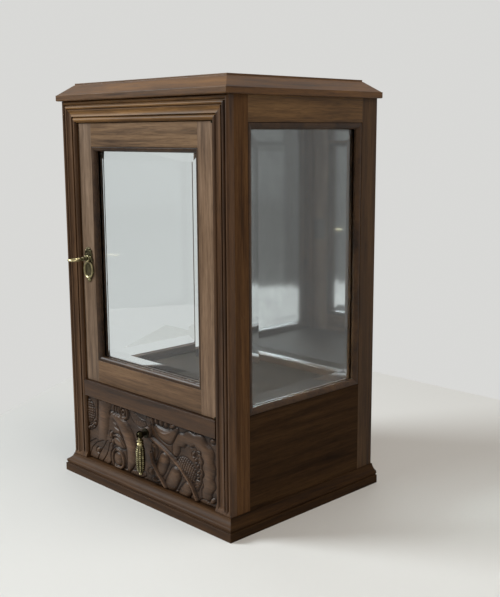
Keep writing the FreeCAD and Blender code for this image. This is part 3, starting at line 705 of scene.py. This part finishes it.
def carve_left(r):
    """Sweeping leaves, netted disc, rosette and scroll left of the pull, back layer first."""
    r.leaf([(-126, 54), (-100, 63), (-78, 73), (-58, 79), (-42, 76)], [12, 20, 23, 18, 6], 1.4, 2.1, cup=0.8)
    r.leaf([(-95, 52), (-92, 70), (-89, 90), (-87, 113)], [10, 12.5, 13.5, 15], 1.3, 3.6, cup=0.0, merged=True)
    r.stem([(-103, 109), (-104, 95), (-104.5, 82), (-107.5, 73), (-114, 66.5), (-126, 61)], 2.3, 2.7)
    r.pod(-128, 86, 19.0, 17.0, 0, 2.8, net=3.3)
    for x, z in ((-122, 64), (-116.5, 66.5), (-111.5, 70.5), (-108.5, 76.5)):
        r.pod(x, z, 2.4, 2.1, 30, 3.0)
    r.leaf([(-34, 106), (-26, 99), (-15, 94), (-3, 96)], [4, 6, 6, 3], 1.0, 1.7, veins=5.0, cut=0.25)
    r.leaf([(-108, 47), (-117, 40), (-127, 32)], [4, 6, 6], 1.6, 2.2, cup=0.6)
    r.leaf([(-92, 48), (-102, 41), (-110, 33), (-118, 23)], [4, 7, 8, 6], 1.7, 2.4, cup=0.65)
    r.leaf([(-83, 51), (-87, 42), (-93, 33), (-101, 22)], [3, 5.5, 6, 5], 1.8, 2.5, cup=0.65)
    r.leaf([(-76, 50), (-77, 40), (-82, 31), (-91, 22)], [3, 5, 5, 4], 1.9, 2.7, cup=0.6)
    r.pod(-103, 38, 4.4, 3.4, 25, 3.2)
    r.ring(-61.5, 36, 12.4, 2.3, 3.1)
    r.pod(-61.5, 36, 8.6, 8.6, 0, 2.8)
    r.leaf([(-70, 24), (-73, 33), (-72, 42), (-66, 49)], [1.5, 2.4, 2.4, 1.0], 1.6, 2.6, cup=0.0)
    r.leaf([(-50, 24), (-38, 25), (-24, 26), (-8, 30)], [2, 3.5, 4.5, 3], 1.2, 2.2, veins=4.0, cut=0.35)
    for rib in ([(-70, 82), (-57, 77), (-47, 68), (-41, 56)], [(-68, 76), (-58, 72), (-50, 65)]):
        r.leaf(rib, [1.0, 3.0, 1.0], 1.9, 2.5, cup=0.0, merged=True)
    r.leaf([(-73, 93), (-59, 88), (-47, 79.5), (-38, 68), (-33.5, 56), (-33.5, 44), (-39, 29)],
           [3, 7.5, 10, 11.5, 11.5, 9.5, 4], 1.9, 3.6, cup=0.0, veins=2.4, slant=0.7, cut=0.16)
    r.pod(-58, 57.5, 13.0, 5.6, -12, 3.1)
    r.stem([(-70, 65), (-62, 66.5), (-53, 63), (-45, 56)], 1.7, 2.9)
    r.pod(-74, 65, 3.4, 4.6, 0, 3.3)
    r.pod(-71, 56.5, 2.8, 3.4, 0, 2.8)
    r.ring(-47, 100, 7.6, 1.9, 2.7)
    r.ring(-47, 100, 3.0, 1.5, 2.8)
    for x in (-57.5, -62.5, -68):
        r.pod(x, 101, 2.3, 5.4, 0, 2.5)


def carve_right(r):
    """Curling leaf, tulip, stems and lobes right of the pull, back layer first."""
    for i, x in enumerate((114.5, 118.5, 122.5)):
        r.leaf([(x, 97 - 3 * i), (x + 0.8, 70), (x, 33 + 2 * i)], [0.8, 1.9, 0.8], 0.5, 1.2, cup=0.0, merged=True)
    r.pod(117.5, 102, 4.5, 3.4, 20, 2.9)
    r.pod(116, 31.5, 4.8, 3.2, 25, 2.9)
    r.leaf([(3, 107), (2, 98), (4, 90)], [3, 5, 2], 1.0, 1.8, veins=3.5)
    for x, z, wide in ((10, 102, 2.6), (17.5, 104, 2.8), (26.5, 105, 3.0), (36, 105, 3.0), (49, 103.5, 6.6)):
        r.pod(x, z, wide, 6.0, (30 - x) * 1.1, 3.0)
    r.leaf([(16, 95), (26, 90), (37, 88), (47, 92), (55, 101)], [4, 7.5, 9.0, 8.0, 3], 1.2, 3.2, cup=0.0)
    r.leaf([(23, 92), (34, 91), (44, 95)], [1.2, 2.6, 1.2], 2.6, 3.5, cup=0.0, merged=True)
    r.pod(71, 57, 17.5, 13.5, -25, 2.8, net=3.4)
    r.leaf([(92, 82), (95, 69), (94, 54), (88, 38)], [3, 5, 5, 3], 1.4, 2.4, veins=4.4, slant=0.9, cut=1.1)
    for x, z, size in ((84, 79, 3.0), (88.5, 73, 2.6), (91.5, 66, 2.6), (92.5, 59, 2.4), (92, 52, 2.2)):
        r.pod(x, z, size, size * 0.8, 40, 2.6)
    r.leaf([(51, 73), (56, 85), (67, 92.5), (81, 96), (95, 95), (106, 87), (110, 76), (110.5, 60), (108.5, 44),
            (101, 27)], [5.5, 7.0, 8.0, 8.8, 9.6, 10.0, 10.0, 10.0, 9.0, 4], 1.9, 3.5, cup=0.08, teeth=17.0)
    r.leaf([(50, 25), (62, 24), (76, 24)], [2, 3, 2], 1.0, 2.0)
    r.leaf([(96, 25), (104, 27), (112, 25)], [2, 3, 2], 1.0, 2.2, veins=3.2)
    r.pod(9, 38, 8.8, 4.4, 8, 3.1)
    r.pod(14, 29.5, 7.4, 3.2, 5, 2.7)
    r.leaf([(12, 56), (13, 65), (13, 75)], [3, 5.5, 4], 1.3, 3.0, cup=0.1, rise=True)
    r.pod(12.5, 73.5, 4.4, 5.0, 0, 3.3, merged=True)
    for root, mid, tip, wide in (((17, 38), (25, 49), (31, 59), 8.6), ((37, 25), (45, 36), (51, 45.5), 9.6),
                                 ((60, 18), (67, 27), (73, 34), 8.2)):
        r.leaf([root, mid, tip], [wide * 0.9, wide * 1.05, wide], 1.6, 3.2, cup=0.0, rise=True)
        r.pod(tip[0], tip[1], wide * 1.0, wide * 0.95, 55, 3.3, merged=True)
    r.stem([(8, 80), (25, 74.5), (45, 66), (60, 57.5), (72, 48), (82, 38), (88, 28), (92, 21)], 1.7, 3.6, even=True,
           flat=0.8)
    r.stem([(6, 60), (10, 49), (18, 40), (26, 32), (36, 22)], 1.7, 3.5, even=True, flat=0.8)


class CASE_OT_carved_front(bpy.types.Operator):
    """Drawer front with foliage carved into its face"""
    bl_idname = "case.carved_front"
    bl_label = "Carved drawer front"

    def execute(self, context):
        sizes = context.scene.case_carving
        low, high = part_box("drawer_front")
        face_y = low[1]
        ground_y = face_y + sizes.depth
        back_y = ground_y + BEHIND_CUT
        bm = bmesh.new()
        bm.from_mesh(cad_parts["drawer_front"].data)
        tag = bm.verts.layers.float.new("relief")
        bmesh.ops.remove_doubles(bm, verts=bm.verts, dist=1e-6)
        everything = bm.verts[:] + bm.edges[:] + bm.faces[:]
        cut = bmesh.ops.bisect_plane(bm, geom=everything, plane_co=(0, back_y, 0), plane_no=(0, -1, 0),
                                     clear_outer=True)["geom_cut"]
        rim = [e for e in cut if isinstance(e, bmesh.types.BMEdge)]
        bmesh.ops.triangle_fill(bm, use_beauty=True, use_dissolve=False, edges=rim)
        wide, tall = high[0] - low[0], high[2] - low[2]
        across, up = int(wide / sizes.cell), int(tall / sizes.cell)
        centre = Matrix.Translation(((low[0] + high[0]) / 2, ground_y, (low[2] + high[2]) / 2))
        lay_out = centre @ Matrix.Rotation(math.pi / 2, 4, "X") @ Matrix.Diagonal((wide, tall, 1.0, 1.0))
        made = bmesh.ops.create_grid(bm, x_segments=across, y_segments=up, size=0.5, matrix=lay_out)["verts"]
        x = np.array([v.co.x for v in made]) / MM
        z = np.array([v.co.z for v in made]) / MM
        relief = Relief(x, z, sizes.groove / MM)
        carve_left(relief)
        carve_right(relief)
        relief.punch_ground()
        from_post = np.hypot(x, z - pull_seat()[2] / MM)
        relief.height = np.where(from_post < POST_SPOT, CARVED_STEPS, relief.height)
        margin = np.minimum(np.minimum(x - low[0] / MM, high[0] / MM - x),
                            np.minimum(z - low[2] / MM, high[2] / MM - z))
        relief.height = relief.height * np.clip(EDGE_KEPT + margin / EDGE_FALL, 0.0, 1.0)
        # The height share stored on each vertex sets the painted shade in the hollows and the painted sheen on the
        # crowns.
        shade = {v: h / CARVED_STEPS for v, h in zip(made, relief.height)}
        for v, h in shade.items():
            v.co.y = ground_y - min(h, 1.0) * sizes.depth
        edge_now = {e for v in made for e in v.link_edges if e.is_boundary}
        skirt = bmesh.ops.extrude_edge_only(bm, edges=list(edge_now))["geom"]
        for v in skirt:
            if isinstance(v, bmesh.types.BMVert):
                v.co.y = back_y
        for v in bm.verts:
            v[tag] = shade.get(v, SIDE_SHADE)
        backing = [e for e in skirt if isinstance(e, bmesh.types.BMEdge) and e.is_boundary]
        bmesh.ops.edgeloop_fill(bm, edges=backing)
        wood = walnut("X", 7, CARVED_TONE, carved=True, dull=0.02)
        finish_piece("carved_drawer_front", bm, wood, "drawer", ["drawer_front"], sharp=60.0)
        return {"FINISHED"}


def pull_seat():
    """Middle of the pull's pin."""
    low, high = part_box("pull_pin")
    return [(a + b) / 2 for a, b in zip(low, high)]


def key_axis():
    """Place of the key's axis, on the face of the door."""
    low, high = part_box("key")
    stile_low, stile_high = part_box("door_stile_left")
    return Vector(((stile_low[0] + stile_high[0]) / 2, stile_low[1], (low[2] + high[2]) / 2))


class CASE_OT_escutcheon(bpy.types.Operator):
    """Cast keyhole plate: rimmed oval, leafy crest and a small finial"""
    bl_idname = "case.escutcheon"
    bl_label = "Keyhole plate"

    def execute(self, context):
        key = key_axis()
        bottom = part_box("escutcheon")[0][2]
        face = key.y
        oval = Vector((key.x, face, bottom + 16.2 * MM))
        bm = brass_mesh()
        outline = [(0.0, 1.9), (3.2, 1.8), (6.0, 1.45), (7.0, 1.4), (7.5, 1.9), (8.0, 2.6), (8.7, 2.8), (9.4, 2.3),
                   (9.8, 1.4), (9.8, 0.0), (0.0, 0.0)]
        dish = lathe(bm, in_mm(outline), oval, (0, -1, 0), (1, 0, 0), 64)
        bmesh.ops.scale(bm, verts=dish, vec=(1.0, 1.0, 1.17), space=Matrix.Translation(-oval))
        collar = [(2.55, 0.0), (2.55, 3.0), (3.1, 3.5), (3.8, 3.2), (4.3, 2.2), (4.3, 0.0), (2.55, 0.0)]
        lathe(bm, in_mm(collar), key, (0, -1, 0), (1, 0, 0), 36)
        crest = Vector((key.x, face - 0.9 * MM, key.z + 3.2 * MM))
        for turn, reach, width in ((-74, 8.6, 4.6), (74, 8.6, 4.6), (-42, 10.4, 5.0), (42, 10.4, 5.0),
                                   (-15, 11.0, 4.4), (15, 11.0, 4.4), (0, 11.4, 4.0)):
            petal(bm, crest, math.radians(turn), reach * MM, width * MM, 1.15 * MM)
        for side in (-1, 1):
            ball = Vector((key.x + side * 5.6 * MM, face - 1.0 * MM, key.z + 1.6 * MM))
            bmesh.ops.create_uvsphere(bm, u_segments=14, v_segments=10, radius=1.9 * MM,
                                      matrix=Matrix.Translation(ball))
            petal(bm, ball, math.radians(side * 150), 6.5 * MM, 3.2 * MM, 1.0 * MM)
        foot = Vector((key.x, face - 0.8 * MM, bottom + 5.8 * MM))
        for turn, reach in ((180, 5.4), (150, 5.0), (210, 5.0), (122, 5.2), (238, 5.2)):
            petal(bm, foot, math.radians(turn), reach * MM, 3.0 * MM, 1.1 * MM)
        bmesh.ops.recalc_face_normals(bm, faces=bm.faces)
        rub(bm, lambda v: (face - v.co.y) / (3.3 * MM if v.co.z < key.z - 2 * MM else 6.0 * MM))
        finish_piece("cast_keyhole_plate", bm, aged_brass(worn=True), "door", ["escutcheon"])
        return {"FINISHED"}


# Length of the key's bow, and the radii of its ring and of the ring's wire before it is squeezed to an oval
BOW_LONG, BOW_RING, BOW_WIRE = 14.8 * MM, 7.1 * MM, 1.4 * MM


class CASE_OT_key(bpy.types.Operator):
    """Turned key with an oval bow and a notched bit"""
    bl_idname = "case.key"
    bl_label = "Key"

    def execute(self, context):
        key = key_axis()
        low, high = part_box("key")
        bm = brass_mesh()
        front = low[1] - key.y
        inside = high[1] - key.y
        neck = front + BOW_LONG
        outline = [(0.0, inside), (1.3, inside), (1.5, inside - 0.3 * MM), (1.5, inside - 3.2 * MM),
                   (2.0, inside - 3.3 * MM), (2.0, -4.2 * MM), (3.0, -4.3 * MM), (3.3, -5.0 * MM), (3.0, -5.9 * MM),
                   (2.1, -6.2 * MM), (1.9, -8.4 * MM), (2.5, -8.8 * MM), (2.7, -9.4 * MM), (2.5, -10.0 * MM),
                   (1.9, -10.4 * MM), (2.2, neck - 1.0 * MM), (2.6, neck - 0.2 * MM), (1.6, neck - 2.4 * MM),
                   (0.0, neck - 2.6 * MM)]
        lathe(bm, [(r * MM, h) for r, h in outline], key, (0, 1, 0), (1, 0, 0), 28)
        centre = Vector((key.x, low[1] + BOW_LONG / 2, key.z))
        at_side = Matrix.Translation(centre + Vector((BOW_RING, 0, 0))) @ Matrix.Rotation(math.pi / 2, 4, "X")
        ring = bmesh.ops.create_circle(bm, segments=16, radius=BOW_WIRE, matrix=at_side)["verts"]
        before = set(bm.verts) - set(ring)
        rim = list({e for v in ring for e in v.link_edges})
        bmesh.ops.spin(bm, geom=ring + rim, cent=centre, axis=(0, 0, 1), angle=2 * math.pi, steps=48, use_merge=True)
        bow = [v for v in bm.verts if v not in before]
        bmesh.ops.scale(bm, verts=bow, vec=(1.0, 0.855, 0.95), space=Matrix.Translation(-centre))
        for place, reach in (((3.9, -7.0), 3.0), ((3.9, -11.0), 2.0)):
            wing = bmesh.ops.create_cube(bm, size=1.0)["verts"]
            bmesh.ops.scale(bm, verts=wing, vec=(3.4 * MM, reach * MM, 2.0 * MM))
            spot = Vector((place[0] * MM, inside + (place[1] + 1.2) * MM, 0))
            bmesh.ops.translate(bm, verts=wing, vec=key + spot)
        bmesh.ops.recalc_face_normals(bm, faces=bm.faces)
        rub(bm, lambda v: 1.0 if v.co.y < neck + key.y + MM else 0.35)
        finish_piece("turned_key", bm, aged_brass(worn=True), "key", ["key"])
        return {"FINISHED"}


# Widest radius of the hanging bud without its ribs, and the length of its facets
BUD_RADIUS, BUD_FACET = 5.4 * MM, 0.4 * MM
# Where the ribs start and end, as shares of the bud's length, and how steeply they rise there
RIB_START, RIB_END, RIB_RISE = 0.155, 0.93, 12


class CASE_OT_drop_pull(bpy.types.Operator):
    """Hanging pull: eye, collar and a ribbed, notched bud"""
    bl_idname = "case.drop_pull"
    bl_label = "Drop pull"

    def execute(self, context):
        sizes = context.scene.case_pull
        seat = Vector(pull_seat())
        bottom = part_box("pull_drop")[0][2]
        bm = brass_mesh()
        eye = [(1.06, -1.3), (2.7, -1.3), (3.0, -1.0), (3.0, 1.0), (2.7, 1.3), (1.06, 1.3), (1.06, -1.3)]
        lathe(bm, in_mm(eye), seat, (1, 0, 0), (0, 1, 0), 28)
        tongue = bmesh.ops.create_cube(bm, size=1.0)["verts"]
        bmesh.ops.scale(bm, verts=tongue, vec=(2.6 * MM, 3.6 * MM, 5.6 * MM))
        bmesh.ops.translate(bm, verts=tongue, vec=seat + Vector((0, 0, -4.8 * MM)))
        crown = seat.z - 6.2 * MM
        reach = crown - bottom
        shape = [(0.0, 0.0), (0.60, 0.0), (0.76, -0.015), (0.78, -0.040), (0.72, -0.055), (0.58, -0.070),
                 (0.56, -0.085), (0.76, -0.100), (0.82, -0.118), (0.76, -0.135), (0.72, -0.150), (0.80, -0.19),
                 (0.90, -0.25), (0.97, -0.34), (1.0, -0.45), (1.0, -0.56), (0.97, -0.67), (0.90, -0.77),
                 (0.78, -0.86), (0.60, -0.915), (0.44, -0.937), (0.36, -0.945), (0.44, -0.957), (0.40, -0.978),
                 (0.25, -0.993), (0.0, -1.0)]
        dense = []
        for (r0, t0), (r1, t1) in zip(shape, shape[1:]):
            parts = max(1, int(abs(t1 - t0) * reach / BUD_FACET))
            for i in range(parts):
                dense.append((r0 + (r1 - r0) * i / parts, t0 + (t1 - t0) * i / parts))
        dense.append(shape[-1])
        centre = Vector((seat.x, seat.y, crown))
        bud = lathe(bm, [(r * BUD_RADIUS, t * reach) for r, t in dense], centre, (0, 0, 1), (1, 0, 0), 80)
        shine = {}
        for v in bud:
            out = Vector((v.co.x - centre.x, v.co.y - centre.y, 0))
            t = (v.co.z - crown) / reach
            if out.length < 1e-6 or not -RIB_END < t < -RIB_START:
                continue
            fade = min(1.0, (-t - RIB_START) * RIB_RISE, (RIB_END + t) * RIB_RISE)
            turn = math.atan2(out.y, out.x)
            rib = abs(math.cos(turn * sizes.ribs / 2))
            notch = 0.55 + 0.45 * math.cos(2 * math.pi * v.co.z / sizes.notch)
            lift = sizes.rib_height * fade * (rib ** 1.5 * notch - 0.6 * (1 - rib))
            v.co += out.normalized() * lift
            shine[v] = 0.22 + max(lift, 0.0) / sizes.rib_height * 0.85
        bmesh.ops.recalc_face_normals(bm, faces=bm.faces)
        rub(bm, lambda v: shine.get(v, 0.8))
        finish_piece("ribbed_drop_pull", bm, aged_brass(worn=True), "pull", ["pull_drop"])
        return {"FINISHED"}


# Height of a screw head, and half the width of its slot as a share of its radius
HEAD_HEIGHT, SLOT_SHARE = 0.5 * MM, 0.14


def slotted_screw(bm, place, out, turn, radius):
    """A countersunk head with its slot, flush on a face that looks along out."""
    upright = Vector(out).to_track_quat("Z", "Y").to_matrix().to_4x4()
    home = Matrix.Translation(place) @ upright @ Matrix.Rotation(turn, 4, "Z")
    for side in (-1, 1):
        half = bmesh.new()
        bmesh.ops.create_cone(half, cap_ends=True, segments=24, radius1=radius, radius2=radius * 0.9,
                              depth=HEAD_HEIGHT)
        geometry = half.verts[:] + half.edges[:] + half.faces[:]
        cut = bmesh.ops.bisect_plane(half, geom=geometry, plane_co=(side * radius * SLOT_SHARE, 0, 0),
                                     plane_no=(-side, 0, 0), clear_outer=True)["geom_cut"]
        rim = [e for e in cut if isinstance(e, bmesh.types.BMEdge)]
        bmesh.ops.edgeloop_fill(half, edges=rim)
        bmesh.ops.transform(half, matrix=home, verts=half.verts)
        spare = bpy.data.meshes.new("screw_half")
        half.to_mesh(spare)
        half.free()
        bm.from_mesh(spare)
        bpy.data.meshes.remove(spare)


def screw_set(name, places, out, turns, radius, material, body):
    """Screws of one size on one face, each slot turned by its place."""
    bm = bmesh.new()
    for place in places:
        slotted_screw(bm, place, out, sum(a * b for a, b in zip(place, turns)), radius)
    finish_piece(name, bm, material, body)


class CASE_OT_screws(bpy.types.Operator):
    """Slotted screws of the lock, strike and back board"""
    bl_idname = "case.screws"
    bl_label = "Screws"

    def execute(self, context):
        low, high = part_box("lock_cover")
        corners = [(x, high[1] + 0.2 * MM, z) for x in (low[0] + 3.0 * MM, high[0] - 3.0 * MM)
                   for z in (low[2] + 3.0 * MM, high[2] - 3.0 * MM)]
        screw_set("lock_screws", corners, (0, 1, 0), (900, 0, 700), 1.7 * MM, lock_steel(), "door")
        low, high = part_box("strike_plate")
        ends = [(high[0] + 0.1 * MM, (low[1] + high[1]) / 2, z) for z in (low[2] + 2.3 * MM, high[2] - 2.3 * MM)]
        screw_set("strike_screws", ends, (1, 0, 0), (0, 0, 800), 1.4 * MM, aged_brass(), "case")
        low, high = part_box("back_board")
        rows = [low[2] + 14 * MM + i * (high[2] - low[2] - 28 * MM) / 5 for i in range(6)]
        edges = [(x, high[1] + 0.1 * MM, z) for x in (low[0] + 7 * MM, high[0] - 7 * MM) for z in rows]
        screw_set("back_board_screws", edges, (0, 1, 0), (500, 0, 900), 2.6 * MM, lock_steel(), "case")
        return {"FINISHED"}


def stage_sheet(name, corners, paint, roughness):
    """A flat painted sheet beside or under the case."""
    bm = bmesh.new()
    bm.faces.new([bm.verts.new(c) for c in corners])
    mesh = bpy.data.meshes.new(name)
    bm.to_mesh(mesh)
    bm.free()
    sheet = bpy.data.objects.new(name, mesh)
    bpy.context.scene.collection.objects.link(sheet)
    material, _, shader = new_material(name + "_paint")
    shader.inputs["Base Color"].default_value = (*paint, 1.0)
    shader.inputs["Roughness"].default_value = roughness
    mesh.materials.append(material)
    return sheet


def area_light(name, place, target, size, power, tint):
    """A round soft light that shines at a target."""
    lamp = bpy.data.lights.new(name, "AREA")
    lamp.shape = "DISK"
    lamp.size = size
    lamp.energy = power
    lamp.color = tint
    holder = bpy.data.objects.new(name, lamp)
    holder.location = place
    holder.rotation_euler = (Vector(target) - Vector(place)).to_track_quat("-Z", "Y").to_euler()
    bpy.context.scene.collection.objects.link(holder)


class CASE_OT_stage(bpy.types.Operator):
    """Pale floor, soft light from a window at the left, and the camera"""
    bl_idname = "case.stage"
    bl_label = "Stage"

    def execute(self, context):
        look = context.scene.case_stage
        corners = [(-0.80, 0.56), (-0.44, -0.07), (-1.1, -3.2), (3.4, -3.2), (3.4, 0.56)]
        floor = stage_sheet("pale_floor", [(x, y, 0.0) for x, y in corners], look.floor, 0.6)
        card = stage_sheet("side_card", [(-1.35, -0.25, 0.0), (-0.55, -1.75, 0.0), (-0.55, -1.75, 0.62),
                                         (-1.35, -0.25, 0.62)], look.card, 0.9)
        # The card is there for the reflections alone
        card.visible_camera = False

        world = bpy.data.worlds.new("room")
        world.use_nodes = True
        tree = world.node_tree
        plain = tree.nodes["Background"]
        plain.inputs["Color"].default_value = (1.0, 0.94, 0.86, 1.0)
        plain.inputs["Strength"].default_value = look.sky
        white = tree.nodes.new("ShaderNodeBackground")
        white.inputs["Color"].default_value = (*look.wall, 1.0)
        white.inputs["Strength"].default_value = 1.0
        ray = tree.nodes.new("ShaderNodeLightPath").outputs
        direct = reckon(tree, "MAXIMUM", ray["Is Camera Ray"], ray["Is Transmission Ray"])
        shown = reckon(tree, "MAXIMUM", direct, ray["Is Glossy Ray"])
        choose_shader(tree, shown, plain.outputs["Background"], white.outputs["Background"], "World Output")
        context.scene.world = world

        area_light("window_light", (-1.70, -1.55, 1.62), (0.0, -0.05, 0.25), 1.2, look.window,
                   (0.90, 0.97, 1.0))
        area_light("ceiling_light", (0.9, 0.1, 1.9), (0.0, 0.0, 0.35), 1.6, look.ceiling, (1.0, 0.95, 0.88))

        camera = bpy.data.cameras.new("camera")
        camera.lens = look.lens
        camera.sensor_width = 36.0
        holder = bpy.data.objects.new("camera", camera)
        ahead = Vector(look.view).normalized()
        level = ahead.cross(Vector((0, 0, 1))).normalized()
        above = level.cross(ahead)
        right = level * math.cos(look.roll) + above * math.sin(look.roll)
        up = above * math.cos(look.roll) - level * math.sin(look.roll)
        turn = Matrix((right, up, -ahead)).transposed()
        holder.matrix_world = Matrix.Translation(look.eye) @ turn.to_4x4()
        context.scene.collection.objects.link(holder)
        context.scene.camera = holder
        context.scene.view_settings.view_transform = "Standard"
        return {"FINISHED"}


class CASE_PT_panel(bpy.types.Panel):
    """Steps that dress the case, in order"""
    bl_idname = "CASE_PT_panel"
    bl_label = "Display case"
    bl_space_type = "VIEW_3D"
    bl_region_type = "UI"
    bl_category = "Display case"

    def draw(self, context):
        for step in STEPS:
            self.layout.operator(step.bl_idname)


GROUPS = {
    "case_timber": TimberFinish,
    "case_metal": MetalFinish,
    "case_glazing": GlazingFinish,
    "case_carving": CarvingSizes,
    "case_pull": PullSizes,
    "case_stage": StageSettings,
}
STEPS = (CASE_OT_timber, CASE_OT_glazing, CASE_OT_fittings, CASE_OT_carved_front, CASE_OT_escutcheon, CASE_OT_key,
         CASE_OT_drop_pull, CASE_OT_screws, CASE_OT_stage)


def register():
    for name, group in GROUPS.items():
        bpy.utils.register_class(group)
        setattr(bpy.types.Scene, name, bpy.props.PointerProperty(type=group))
    for step in STEPS:
        bpy.utils.register_class(step)
    bpy.utils.register_class(CASE_PT_panel)


def unregister():
    bpy.utils.unregister_class(CASE_PT_panel)
    for step in reversed(STEPS):
        bpy.utils.unregister_class(step)
    for name, group in reversed(GROUPS.items()):
        delattr(bpy.types.Scene, name)
        bpy.utils.unregister_class(group)


def main():
    register()
    for step in STEPS:
        group, action = step.bl_idname.split(".")
        getattr(getattr(bpy.ops, group), action)()


if __name__ == "__main__":
    main()
